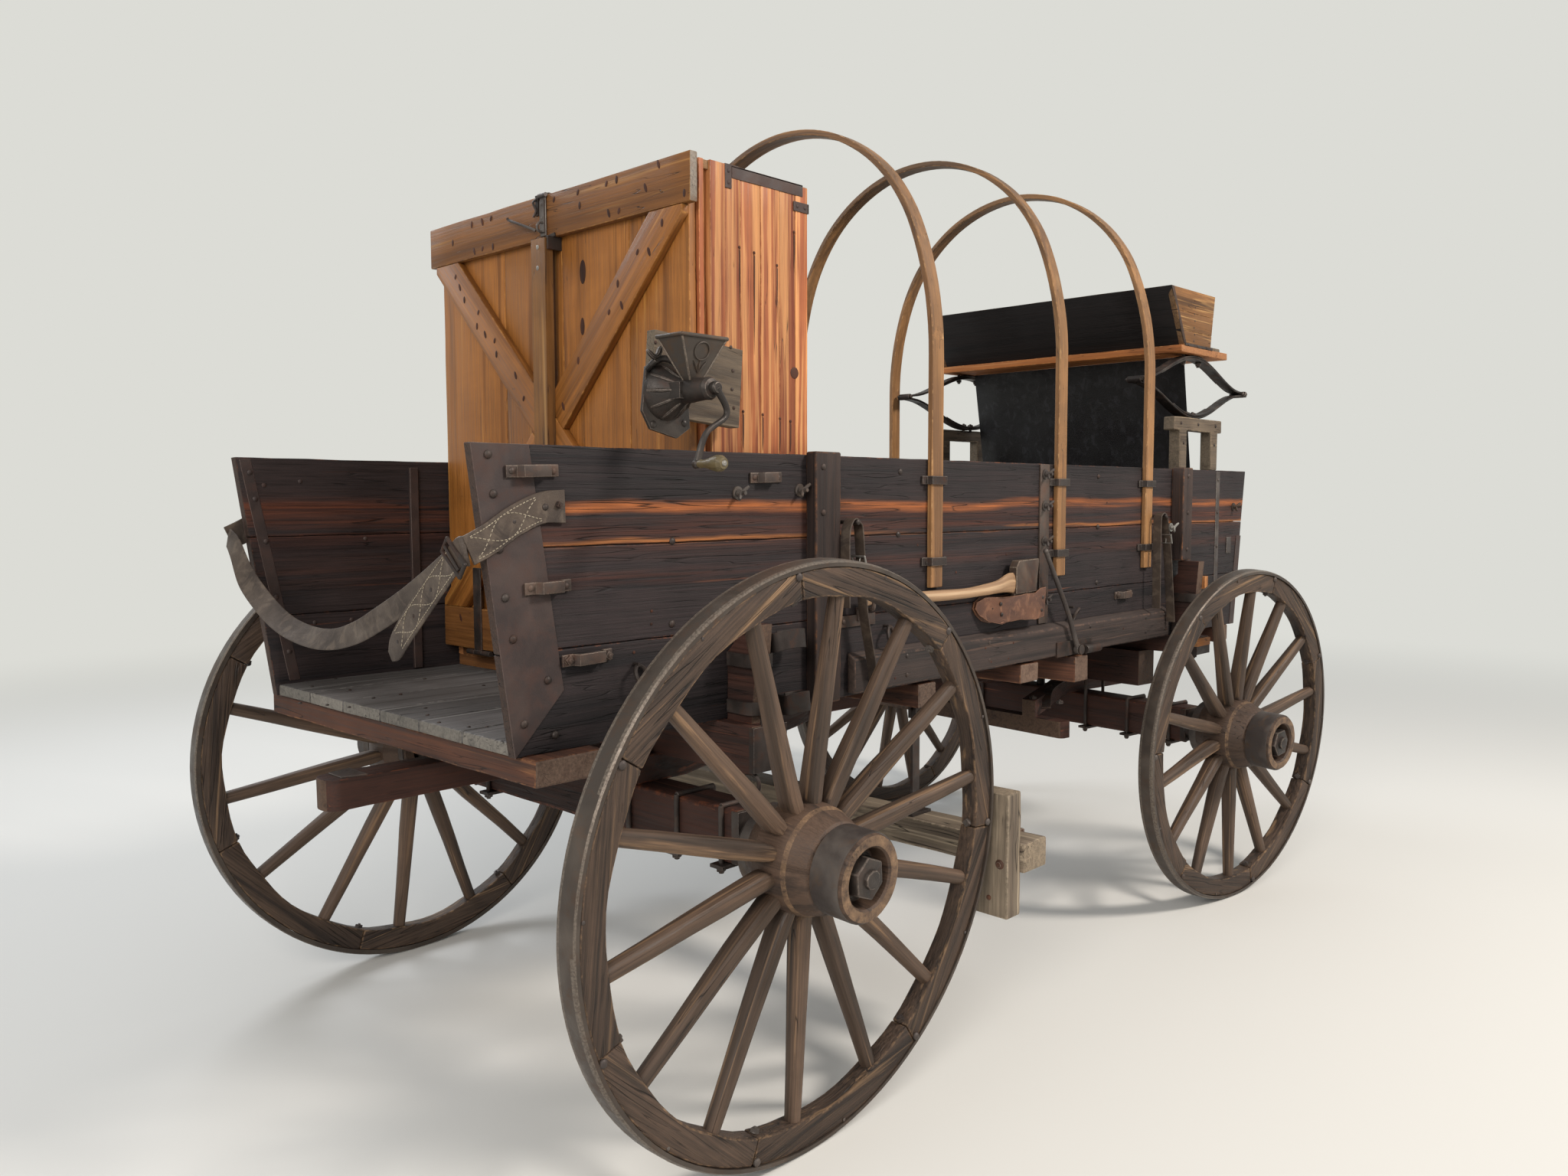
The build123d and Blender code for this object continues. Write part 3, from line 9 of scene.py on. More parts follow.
import json
import logging
import random
from dataclasses import dataclass, field
from enum import Enum
from functools import partial
from math import atan2, copysign, cos, hypot, pi, radians, sin, sqrt, tan
from typing import Any, Callable, Iterable, Sequence

import bmesh
import bpy
import numpy as np
from mathutils import Matrix, Vector, noise

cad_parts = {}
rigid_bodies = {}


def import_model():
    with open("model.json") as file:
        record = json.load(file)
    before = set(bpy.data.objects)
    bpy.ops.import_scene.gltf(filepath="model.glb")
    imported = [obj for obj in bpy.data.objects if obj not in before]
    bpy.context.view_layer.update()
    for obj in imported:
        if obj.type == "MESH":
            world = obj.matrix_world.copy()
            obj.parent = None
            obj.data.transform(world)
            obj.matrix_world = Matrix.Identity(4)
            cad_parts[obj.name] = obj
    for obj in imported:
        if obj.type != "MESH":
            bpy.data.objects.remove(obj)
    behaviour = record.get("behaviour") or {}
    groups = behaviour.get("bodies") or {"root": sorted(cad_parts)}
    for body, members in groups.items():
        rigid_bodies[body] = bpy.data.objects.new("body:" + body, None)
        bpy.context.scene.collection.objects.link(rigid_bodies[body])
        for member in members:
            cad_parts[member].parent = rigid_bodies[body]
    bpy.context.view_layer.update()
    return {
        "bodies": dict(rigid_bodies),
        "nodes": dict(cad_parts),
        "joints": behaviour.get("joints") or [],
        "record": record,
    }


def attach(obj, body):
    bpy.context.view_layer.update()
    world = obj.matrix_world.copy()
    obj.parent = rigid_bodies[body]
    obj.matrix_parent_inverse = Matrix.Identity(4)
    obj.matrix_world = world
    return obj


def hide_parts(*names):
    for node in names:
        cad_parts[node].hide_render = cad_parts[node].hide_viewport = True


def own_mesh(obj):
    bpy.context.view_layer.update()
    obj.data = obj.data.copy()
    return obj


LOG = logging.getLogger("wagon")
MM = 0.001
SIDES = (-1, 1)           # the wagon's right and left
BOX_HALF_Y = 541.0        # outside of the box's sides
KING_X = 1124.5           # the king bolt and the front axle; the rear axle lies as far behind the middle
PARK_STEER = 6.5          # degrees that the front gear stands turned
SHARP = radians(24)  # above this an edge is drawn sharp
FORGED = (0.8, 1, 50)     # rounding of forged irons: width, segments, limit in degrees
BACKDROP = "dcdcd6"       # colour of the studio behind the wagon

Point = tuple[float, float, float]
Pair = tuple[float, float]
Place = Sequence[float]
Line = Sequence[Sequence[float]]
Nodes = dict[str, bpy.types.Object]
Adder = Callable[..., Any]


class Body(str, Enum):
    """The bodies of the frame that pieces ride on."""

    WAGON = "wagon"
    LID = "chuck_lid"
    LEG = "table_leg"
    CRANK = "mill_crank"
    GEAR = "front_gear"
    BRAKE = "brake_beam"
    LEVER = "brake_lever"


class Along(Enum):
    """Which way the grain of a copied timber runs."""

    LONGEST = 0
    ARCH = 1


def linear(hex_colour: str) -> tuple[float, float, float, float]:
    """Turn an sRGB hex value into a linear colour.

    Args:
        hex_colour: six hex digits.

    Returns:
        Red, green, blue and an alpha of 1.
    """
    parts = [int(hex_colour[at:at + 2], 16) / 255 for at in (0, 2, 4)]
    red, green, blue = (c / 12.92 if c <= 0.04045 else ((c + 0.055) / 1.055) ** 2.4 for c in parts)
    return red, green, blue, 1.0


def add_node(tree: bpy.types.NodeTree, kind: str, inputs: dict | None = None,
             stops: Sequence[tuple[float, str]] = (), **settings: Any) -> Any:
    """Add one shader node with its settings and its links.

    Args:
        tree: the node tree.
        kind: the node's type name after "ShaderNode".
        inputs: socket names or numbers, each with a socket to link, a hex colour or a value.
        stops: places and hex colours of a colour ramp.
        **settings: attributes of the node.

    Returns:
        The new node's outputs.
    """
    made = tree.nodes.new("ShaderNode" + kind)
    for name, value in settings.items():
        setattr(made, name, value)
    for key, value in (inputs or {}).items():
        if isinstance(value, bpy.types.NodeSocket):
            tree.links.new(value, made.inputs[key])
        else:
            made.inputs[key].default_value = linear(value) if isinstance(value, str) else value
    if stops:
        ramp = made.color_ramp.elements
        while len(ramp) < len(stops):
            ramp.new(0.5)
        for element, (place, colour) in zip(ramp, stops):
            element.position = place
            element.color = linear(colour)
    return made.outputs


def new_tree(name: str) -> tuple[bpy.types.Material, Adder]:
    """Start an empty material and give it with the function that adds its nodes."""
    made = bpy.data.materials.new(name)
    made.use_nodes = True
    made.node_tree.nodes.clear()
    return made, partial(add_node, made.node_tree)


def patterns(add: Adder, source: Any, table: Iterable[tuple[str, Point, float, float, float]]) -> dict[str, Any]:
    """Lay several stretched noises over the same coordinates.

    Args:
        add: adds a node to the tree.
        source: the coordinates, in metres.
        table: name, cells per metre along each axis, detail, roughness and distortion.

    Returns:
        Each noise's factor by name.
    """
    made = {}
    for name, cells, detail, rough, bent in table:
        mapped = add("Mapping", {"Vector": source, "Scale": cells})[0]
        made[name] = add("TexNoise", {
            "Vector": mapped, "Scale": 1, "Detail": detail, "Roughness": rough, "Distortion": bent})["Fac"]
    return made


def layered(add: Adder, base: Any, layers: Iterable[tuple[Any, Any, str]]) -> Any:
    """Lay paints over a base, one after the other.

    Args:
        add: adds a node to the tree.
        base: the first hex colour or socket.
        layers: factor, hex colour or socket, and blend mode.

    Returns:
        The last mix's colour socket.
    """
    for factor, paint, mode in layers:
        base = add("Mix", {0: factor, 6: base, 7: paint}, data_type="RGBA", blend_type=mode)[2]
    return base


@dataclass(frozen=True)
class Finish:
    """What every finish has: a name, the record's slot, a range of roughness and a relief."""

    name: str
    slot: str
    rough: Pair = field(default=(0.55, 0.85), kw_only=True)
    relief: float = field(default=1, kw_only=True)      # mm

    def shade(self, add: Adder, colour: Any, matt: Any, height: Any, strength: float, **sockets: float) -> None:
        """End the tree with the shader that its patterns lead to.

        Args:
            add: adds a node to the tree.
            colour: the colour's socket.
            matt: the pattern that the roughness follows.
            height: the pattern that the relief follows.
            strength: of the relief.
            **sockets: more of the shader's inputs, with _ for a space.
        """
        rough = add("MapRange", {0: matt, 1: 0.35, 2: 0.65, 3: self.rough[0], 4: self.rough[1]})[0]
        bump = add("Bump", {"Height": height, "Distance": self.relief * MM, "Strength": strength})[0]
        more = {name.replace("_", " "): value for name, value in sockets.items()}
        shader = add("BsdfPrincipled", {"Base Color": colour, "Roughness": rough, "Normal": bump, **more})[0]
        add("OutputMaterial", {0: shader})


@dataclass(frozen=True)
class Timber(Finish):
    """Sawn or hewn timber that has weathered, with the grain along its own coordinates.

    Real fibres are under a millimetre across, so they are drawn several times as coarse to show.
    """

    heart: str
    dark: str
    bare: str
    end: str
    fibre: float = 4.0        # mm across one dark or light fibre
    streak: float = 0.62      # above this the bare wood shows in streaks
    wear: float = 0.5         # share of the edges that is rubbed bare
    contrast: float = 0.5
    cracks: float = 0.010     # width of the drying cracks, as a share of the pattern's range
    sheen: float = 0.3
    bands: tuple = ()         # height and half width in mm, strength and colour of each bare band

    def material(self) -> bpy.types.Material:
        """Build the node material."""
        made, add = new_tree(self.name)
        grain = add("Attribute", attribute_name="grain")["Vector"]
        tone, edge, end = (add("Attribute", attribute_name=name)["Fac"] for name in ("tone", "edge", "end"))
        place = add("TexCoord")["Object"]
        across = 1000 / self.fibre
        laid = patterns(add, grain, (
            ("fibre", (5, across, across), 5, 0.65, 0), ("figure", (0.8, 26, 26), 3, 0.55, 0.6),
            ("streak", (1.1, 48, 48), 4, 0.6, 0.4), ("crack", (2.4, 62, 62), 1, 0.4, 0.3),
            ("rings", (14, 46, 46), 4, 0.55, 0.8)))
        laid.update(patterns(add, place, (
            ("patch", (3.1, 3.1, 4.3), 4, 0.6, 0.3), ("fleck", (42, 42, 42), 4, 0.7, 0))))
        body = add("ValToRGB", {0: laid["figure"]},
                   stops=((0.34, self.dark), (0.5, self.heart), (0.66, self.heart)))[0]
        fine = add("MapRange", {0: laid["fibre"], 1: 0.3, 2: 0.7, 3: 1 - self.contrast, 4: 1.12})[0]
        shade = add("CombineXYZ", {0: fine, 1: fine, 2: fine})[0]
        worn = add("MapRange", {0: laid["fleck"], 1: 0.62 - 0.3 * self.wear, 2: 0.7})[0]
        rubbed = add("Math", {0: worn, 1: edge}, operation="MULTIPLY")[0]
        bared = add("MapRange", {0: laid["streak"], 1: self.streak, 2: self.streak + 0.09, 4: 0.85})[0]
        grey = add("MapRange", {0: laid["patch"], 1: 0.36, 2: 0.68, 4: 0.6})[0]
        off = add("Math", {0: laid["crack"], 1: 0.5}, operation="SUBTRACT")[0]
        line = add("Math", {0: off}, operation="ABSOLUTE")[0]
        split = add("MapRange", {0: line, 2: self.cracks, 3: 1, 4: 0.0})[0]
        where = add("MapRange", {0: laid["patch"], 1: 0.47, 2: 0.56, 4: 0.85})[0]
        crack = add("Math", {0: split, 1: where}, operation="MULTIPLY")[0]
        toned = add("MapRange", {0: tone, 3: 0.78, 4: 1.16})[0]
        each = add("CombineXYZ", {0: toned, 1: toned, 2: toned})[0]
        sawn = add("ValToRGB", {0: laid["rings"]}, stops=((0.1, self.dark), (0.5, self.end), (0.9, self.end)))[0]
        colour = layered(add, body, (
            (grey, self.dark, "MIX"), (bared, self.bare, "MIX"), *self.banded(add, place, laid["streak"]),
            (rubbed, self.bare, "MIX"), (end, sawn, "MIX"), (1, shade, "MULTIPLY"), (1, each, "MULTIPLY"),
            (crack, "0d0a09", "MIX")))
        height = add("Math", {0: crack, 1: -1.6, 2: laid["fibre"]}, operation="MULTIPLY_ADD")[0]
        self.shade(add, colour, laid["fibre"], height, 0.9, Specular_IOR_Level=self.sheen, IOR=1.5)
        return made

    def banded(self, add: Adder, place: Any, streak: Any) -> list:
        """Give the layers of the bare bands that run along the side at set heights.

        Args:
            add: adds a node to the tree.
            place: the object's coordinates.
            streak: the pattern that frays a band.

        Returns:
            Factor, colour and blend mode of each band.
        """
        found = []
        for height, half, strength, colour in self.bands:
            axes = add("SeparateXYZ", {0: place})
            sway = add("TexNoise", {"W": axes[0], "Scale": 1.7, "Detail": 3.0}, noise_dimensions="1D")["Fac"]
            middle = add("MapRange", {0: sway, 1: 0.3, 2: 0.7, 3: (height - 9) * MM, 4: (height + 9) * MM})[0]
            off = add("Math", {0: axes[2], 1: middle}, operation="SUBTRACT")[0]
            gap = add("Math", {0: off}, operation="ABSOLUTE")[0]
            near = add("MapRange", {0: gap, 2: half * MM, 3: 1, 4: 0.0})[0]
            frayed = add("MapRange", {0: streak, 1: 0.36, 2: 0.56, 4: strength})[0]
            found.append((add("Math", {0: near, 1: frayed}, operation="MULTIPLY")[0], colour, "MIX"))
        return found


@dataclass(frozen=True)
class Iron(Finish):
    """Forged, rolled or cast iron gone brown, with rust and rubbed edges."""

    base: str
    rust: str
    bright: str
    metallic: float = 0.55
    rusting: float = 0.5      # share of the face that rust covers
    rough: Pair = field(default=(0.42, 0.72), kw_only=True)
    relief: float = field(default=0.5, kw_only=True)      # mm

    def material(self) -> bpy.types.Material:
        """Build the node material."""
        made, add = new_tree(self.name)
        edge = add("Attribute", attribute_name="edge")["Fac"]
        laid = patterns(add, add("TexCoord")["Object"], (
            ("patch", (22, 22, 22), 6, 0.7, 0.4), ("pit", (210, 210, 210), 3, 0.6, 0),
            ("smear", (7, 7, 7), 3, 0.6, 0.5)))
        rusty = add("MapRange", {0: laid["patch"], 1: 0.62 - 0.25 * self.rusting, 2: 0.72, 4: 0.9})[0]
        rubbed = add("MapRange", {0: laid["pit"], 1: 0.38, 2: 0.6, 3: 0.25})[0]
        worn = add("Math", {0: rubbed, 1: edge}, operation="MULTIPLY")[0]
        dusty = add("MapRange", {0: laid["smear"], 1: 0.45, 2: 0.7, 4: 0.35})[0]
        colour = layered(add, self.base, (
            (rusty, self.rust, "MIX"), (dusty, self.bright, "MIX"), (worn, self.bright, "MIX")))
        self.shade(add, colour, laid["patch"], laid["pit"], 0.6, Metallic=self.metallic)
        return made


@dataclass(frozen=True)
class Hide(Finish):
    """Oiled harness leather, or the black sheet that paints shade under the seat, creased along its own coordinates.
    """

    base: str
    dark: str
    rubbed: str
    pebble: float = 2.5       # mm across one pebble of the grain, coarser than real so that it shows
    rough: Pair = field(default=(0.42, 0.7), kw_only=True)
    relief: float = field(default=0.5, kw_only=True)      # mm

    def material(self) -> bpy.types.Material:
        """Build the node material."""
        made, add = new_tree(self.name)
        grain = add("Attribute", attribute_name="grain")["Vector"]
        edge = add("Attribute", attribute_name="edge")["Fac"]
        laid = patterns(add, grain, (
            ("patch", (9, 14, 14), 5, 0.6, 0.4), ("crease", (30, 22, 22), 4, 0.6, 0.8)))
        mapped = add("Mapping", {"Vector": grain, "Scale": (1000 / self.pebble,) * 3})[0]
        cell = add("TexVoronoi", {"Vector": mapped, "Scale": 1.0})["Distance"]
        blotch = add("MapRange", {0: laid["patch"], 1: 0.35, 2: 0.65})[0]
        crease = add("MapRange", {0: laid["crease"], 1: 0.52, 2: 0.66, 4: 0.45})[0]
        colour = layered(add, self.base, (
            (blotch, self.dark, "MIX"), (crease, self.rubbed, "MIX"), (edge, self.rubbed, "MIX")))
        height = add("Math", {0: laid["crease"], 1: 1.5, 2: cell}, operation="MULTIPLY_ADD")[0]
        self.shade(add, colour, laid["patch"], height, 0.7, Specular_IOR_Level=0.4)
        return made


class Paint(Enum):
    """The finishes of the wagon."""

    # farm-wagon paint worn to charcoal, raw pine showing along the grain
    SIDE = Timber(
        "SidePaint_worn_on_pine", "side_paint", "352c2c", "1f1b1d", "744630", "4a3a32", fibre=4.5, streak=0.66,
        wear=0.35, contrast=0.62, relief=1.8, cracks=0.014, bands=((1300, 75, 0.38, "6e3c28"),
        (1205, 24, 0.3, "6a3a28"), (1346, 17, 0.9, "bd6e3a"), (1276, 8, 0.9, "b0703e")))
    # the left side kept its paint better: its boards only show red where it has thinned
    LEFT = Timber(
        "SidePaint_thin_on_pine", "side_paint", "352b2a", "1f1b1d", "6a4230", "4a3a32", fibre=4.5, streak=0.64,
        wear=0.35, contrast=0.62, relief=1.8, cracks=0.014, bands=((1310, 85, 0.55, "6e3e2a"),
        (1346, 22, 0.5, "84482c"), (1180, 60, 0.3, "5e3828")))
    # oak uprights as dark as the paint, their corners rubbed to bare wood
    CLEAT = Timber("Cleat_oak_dark", "side_paint", "43352f", "2a211f", "7d5234", "5a463a", streak=0.64, wear=0.6)
    # bare oak along the sill, greyer and rougher than the painted boards
    OUTER = Timber(
        "Outer_board_bare_oak", "side_paint", "483c37", "2e2826", "71584a", "5f5048", fibre=5, streak=0.6, wear=0.6,
        relief=1.5)
    # hickory and oak, painted once, rubbed to grey-brown
    WHEEL = Timber(
        "Wheel_oak_weathered", "wheel_wood", "5c4a3d", "362c26", "957759", "574638", fibre=5.5, streak=0.585,
        wear=0.55, rough=(0.45, 0.75), contrast=0.72, relief=2.6, cracks=0.019)
    # hickory rubbed smooth, a little lighter than the felloes
    SPOKE = Timber(
        "Spoke_hickory_rubbed", "wheel_wood", "645041", "42362d", "8d7055", "5a4436", streak=0.57, rough=(0.4, 0.7),
        contrast=0.48, cracks=0.008)
    # elm under the last of its paint, its shoulders scuffed pale
    HUB = Timber(
        "Hub_elm_painted", "wheel_wood", "5a473a", "3c3029", "8c7055", "7a4a30", streak=0.66, wear=0.9,
        rough=(0.42, 0.7), contrast=0.35)
    # ash reddened by old paint and road dust
    GEAR = Timber("Gear_ash_reddened", "gear_wood", "4a2f26", "2c1e1a", "80492f", "5e4a3c", fibre=5, streak=0.64)
    # pine that boots and rain have greyed, with open furrows
    FLOOR = Timber(
        "Floor_pine_grey", "floor_wood", "6f6c6a", "4a4744", "8d8a86", "7a756d", fibre=7, streak=0.58, wear=0.4,
        rough=(0.6, 0.85), contrast=0.4, relief=1.6)
    # oak stained red by its bolts
    SILL = Timber("Sill_oak_rust_red", "sill_wood", "6a4534", "422d25", "946644", "6f5a4c", fibre=6, streak=0.6)
    # bent ash, honey-brown at its feet and dark over the top
    BOW = Timber(
        "Bow_ash_bent", "bow_wood", "a67a4e", "755539", "c49a68", "8a6a48", streak=0.6, wear=0.4, rough=(0.4, 0.65),
        contrast=0.3, relief=0.7, cracks=0.005, bands=((2420, 760, 0.85, "5e4733"), ))
    # fir boards that the sun has turned orange and bleached in bands
    CHUCK = Timber(
        "ChuckBox_fir_sunned", "box_wood", "ab653c", "813f26", "d3965f", "a3764e", fibre=6, streak=0.47, wear=0.6,
        rough=(0.4, 0.65), contrast=0.28, cracks=0.008)
    # the same fir out of the sun, browner and dull
    INSIDE = Timber(
        "ChuckBox_inner_boards", "box_wood", "8a5c34", "5e3d25", "a87a4c", "8c6a48", fibre=6, wear=0.4,
        contrast=0.35, cracks=0.008)
    # wood blackened round a nail, darker than any grain line
    STAIN = Timber(
        "Nail_stain_dark", "box_wood", "4a2a1c", "351d13", "5c3624", "4a2a1c", streak=0.7, wear=0.1, contrast=0.2)
    # pine under old varnish, honey-yellow with a low gloss
    LID = Timber(
        "Lid_pine_varnished", "lid_wood", "9c642c", "74461a", "ae783a", "8f6434", fibre=6, streak=0.6, wear=0.4,
        rough=(0.38, 0.6), contrast=0.36, relief=0.6, cracks=0.003, sheen=0.4)
    # pine a little browner than the lid, its ends greyed
    RAIL = Timber(
        "Lid_rail_pine_browned", "lid_wood", "8c5c30", "6a4424", "a67842", "8b8073", fibre=6, streak=0.6, wear=0.6,
        rough=(0.4, 0.65), contrast=0.32, relief=0.9, cracks=0.007)
    # pine darkened and rounded by hands
    LEG = Timber(
        "Leg_pine_handled", "lid_wood", "95683a", "6c4a2b", "b68a54", "8f7352", fibre=6, streak=0.58, wear=0.8,
        rough=(0.4, 0.65), contrast=0.3, relief=0.8, cracks=0.008)
    # bare board gone grey-brown and furrowed
    OLD = Timber(
        "Old_board_grey", "old_wood", "6e6050", "473c32", "93826a", "6e6252", fibre=6, streak=0.6, wear=0.6,
        contrast=0.45, relief=1.6)
    # pine sunned orange where no paint covers it
    SEAT_END = Timber(
        "Bench_pine_orange", "seat_paint", "94683f", "563c26", "c39862", "7a5e42", fibre=7, streak=0.56,
        contrast=0.42, relief=1.4)
    # the bench board's bright pine, the lightest wood of the seat
    SEAT_EDGE = Timber(
        "Bench_board_bright_pine", "seat_paint", "b5713a", "7d4a28", "d29458", "9a6a44", fibre=6, streak=0.56,
        wear=0.4, contrast=0.3, relief=0.9)
    # black paint, brown where the edges are rubbed
    SEAT = Timber("Bench_black_paint", "seat_paint", "201b1a", "131010", "5a4030", "4a3a30", fibre=6, streak=0.7)
    # blocks of young wood, the most orange spots of the gear
    RAW = Timber(
        "Stake_block_orange", "gear_wood", "b87a45", "875330", "d49a60", "a87a50", streak=0.58, contrast=0.35)
    # hickory polished pale by the grip, with a satin shine
    HANDLE = Timber(
        "Axe_hickory_pale", "handle_wood", "ac8a68", "7d6148", "c8aa88", "86684c", streak=0.55, wear=0.3,
        rough=(0.38, 0.6), contrast=0.22, relief=0.3, cracks=0.002)
    # weathered oak, pale, deeply cracked and furrowed
    BLOCK = Timber(
        "Brake_oak_pale", "block_wood", "8d7f6c", "62564a", "a99a84", "8b7c68", fibre=8, streak=0.56, wear=0.6,
        contrast=0.45, relief=2, cracks=0.016)
    # oiled boxwood, olive-brown and smooth
    KNOB = Timber(
        "Knob_boxwood_oiled", "handle_wood", "75684a", "544832", "958a68", "6d6146", streak=0.6, rough=(0.3, 0.5),
        contrast=0.2, relief=0.3)
    # wrought and sheet iron, brown with age
    IRON = Iron("Iron_forged_brown", "iron", "332c29", "4e3224", "6a625c")
    # bent straps with more rust, lighter than the bolts
    KEEPER = Iron("Iron_keeper_rusted", "iron", "3f3530", "5c4031", "7a6d62", metallic=0.4, rusting=0.7)
    # clamps gone to a matt orange-brown rust
    RUSTED = Iron(
        "Iron_clamp_rusted", "iron", "50382c", "7a4a30", "8a7a6c", metallic=0.3, rusting=0.8, rough=(0.55, 0.8))
    # flat strips with a grey bloom that stand off the dark paint
    STRIP = Iron("Iron_strip_greyed", "iron", "443d3a", "54402f", "8c847c", metallic=0.5, rusting=0.4)
    # spring steel, near black, with bright rubbed edges
    SPRING = Iron("Spring_steel_black", "iron", "26211f", "4a3326", "7a7068", metallic=0.6, rusting=0.4)
    # sheet iron under rust and old paint, almost without shine
    PLATE = Iron(
        "Iron_sheet_rusted", "iron", "352b29", "48332c", "5c4c45", metallic=0.25, rusting=0.7, rough=(0.5, 0.75))
    # steel that the road keeps bright along the edges
    TYRE = Iron("Tyre_steel_worn", "tyre_iron", "443c36", "503d30", "70665c", metallic=0.5, rough=(0.34, 0.58))
    # rubbed steel, the brightest metal of the wagon
    STEEL = Iron(
        "Steel_rubbed", "iron", "8a8680", "5a4a3c", "c0bcb4", metallic=0.8, rough=(0.28, 0.5), rusting=0.25)
    # forged steel browned by storing, its edge a little brighter
    AXE = Iron(
        "Axe_head_browned", "iron", "3c2f29", "54382a", "857869", metallic=0.4, rough=(0.42, 0.65), rusting=0.6)
    # cast iron, oiled black and softly pitted
    CAST = Iron(
        "Cast_iron_oiled", "iron", "302b28", "46322a", "6a6058", rough=(0.35, 0.6), rusting=0.35, relief=0.9)
    # sheet iron with worn tinning, smoother than the casting
    HOPPER = Iron("Hopper_sheet_tinned", "iron", "433c36", "54402f", "7a6e62", metallic=0.5, rough=(0.38, 0.62))
    # harness leather, dry and grey along the creases
    LEATHER = Hide("Harness_leather_dry", "leather", "4c4036", "352c26", "6a5d50", relief=0.35)
    # red-brown leather, scuffed light at its edges
    POUCH = Hide("Pouch_leather_red", "pouch_leather", "63412f", "402a22", "94694e", rough=(0.35, 0.6))
    # waxed linen thread, pale against the leather
    STITCH = Hide("Stitching_waxed", "leather", "a39884", "857a68", "b8ae9a", pebble=1.5)
    # painted shade: a black sheet that darkens the space under the seat, with a dull gloss on its folds
    CLOTH = Hide("Oilcloth_black", "oilcloth", "141315", "0b0b0c", "343438", rough=(0.35, 0.6))

    def material(self) -> bpy.types.Material:
        """Give the finish's material, built once."""
        return bpy.data.materials.get(self.value.name) or self.value.material()

    @property
    def slot(self) -> str:
        """The record's material slot."""
        return self.value.slot


def aim(at: Place, normal: Place, spin: float = 0) -> Matrix:
    """Give the frame at a point whose Z looks along a normal.

    Args:
        at: the point, mm.
        normal: the direction of the frame's Z.
        spin: turn about that direction, degrees.

    Returns:
        The frame as a matrix.
    """
    turn = Vector(normal).to_track_quat("Z", "Y").to_matrix().to_4x4()
    return Matrix.Translation(Vector(at)) @ turn @ Matrix.Rotation(radians(spin), 4, "Z")


def steered() -> Matrix:
    """Give the turn of the front gear about the king bolt, as it is parked."""
    king = Matrix.Translation((KING_X, 0, 0))
    return king @ Matrix.Rotation(radians(-PARK_STEER), 4, "Z") @ king.inverted()


def polar(place: Place) -> Pair:
    """Give a point's angle about Z and its distance from it."""
    return atan2(place[1], place[0]), hypot(place[0], place[1])


def circle(sides: int) -> list[Pair]:
    """Give the cosine and sine of evenly spread angles."""
    turns = [2 * pi * k / sides for k in range(sides)]
    return [(cos(t), sin(t)) for t in turns]


def curve_through(points: Line, steps: int = 8) -> list[Vector]:
    """Give close points on a smooth line through a few control points.

    Args:
        points: the control points.
        steps: points per stretch.

    Returns:
        The points of the line.
    """
    knots = [Vector(p) for p in points]
    knots = [2 * knots[0] - knots[1], *knots, 2 * knots[-1] - knots[-2]]
    line = []
    for a, b, c, d in zip(knots, knots[1:], knots[2:], knots[3:]):
        for step in range(steps):
            t = step / steps
            line.append(0.5 * (2 * b + (c - a) * t + (2 * a - 5 * b + 4 * c - d) * t * t
                               + (3 * b - a - 3 * c + d) * t ** 3))
    return [*line, knots[-2]]


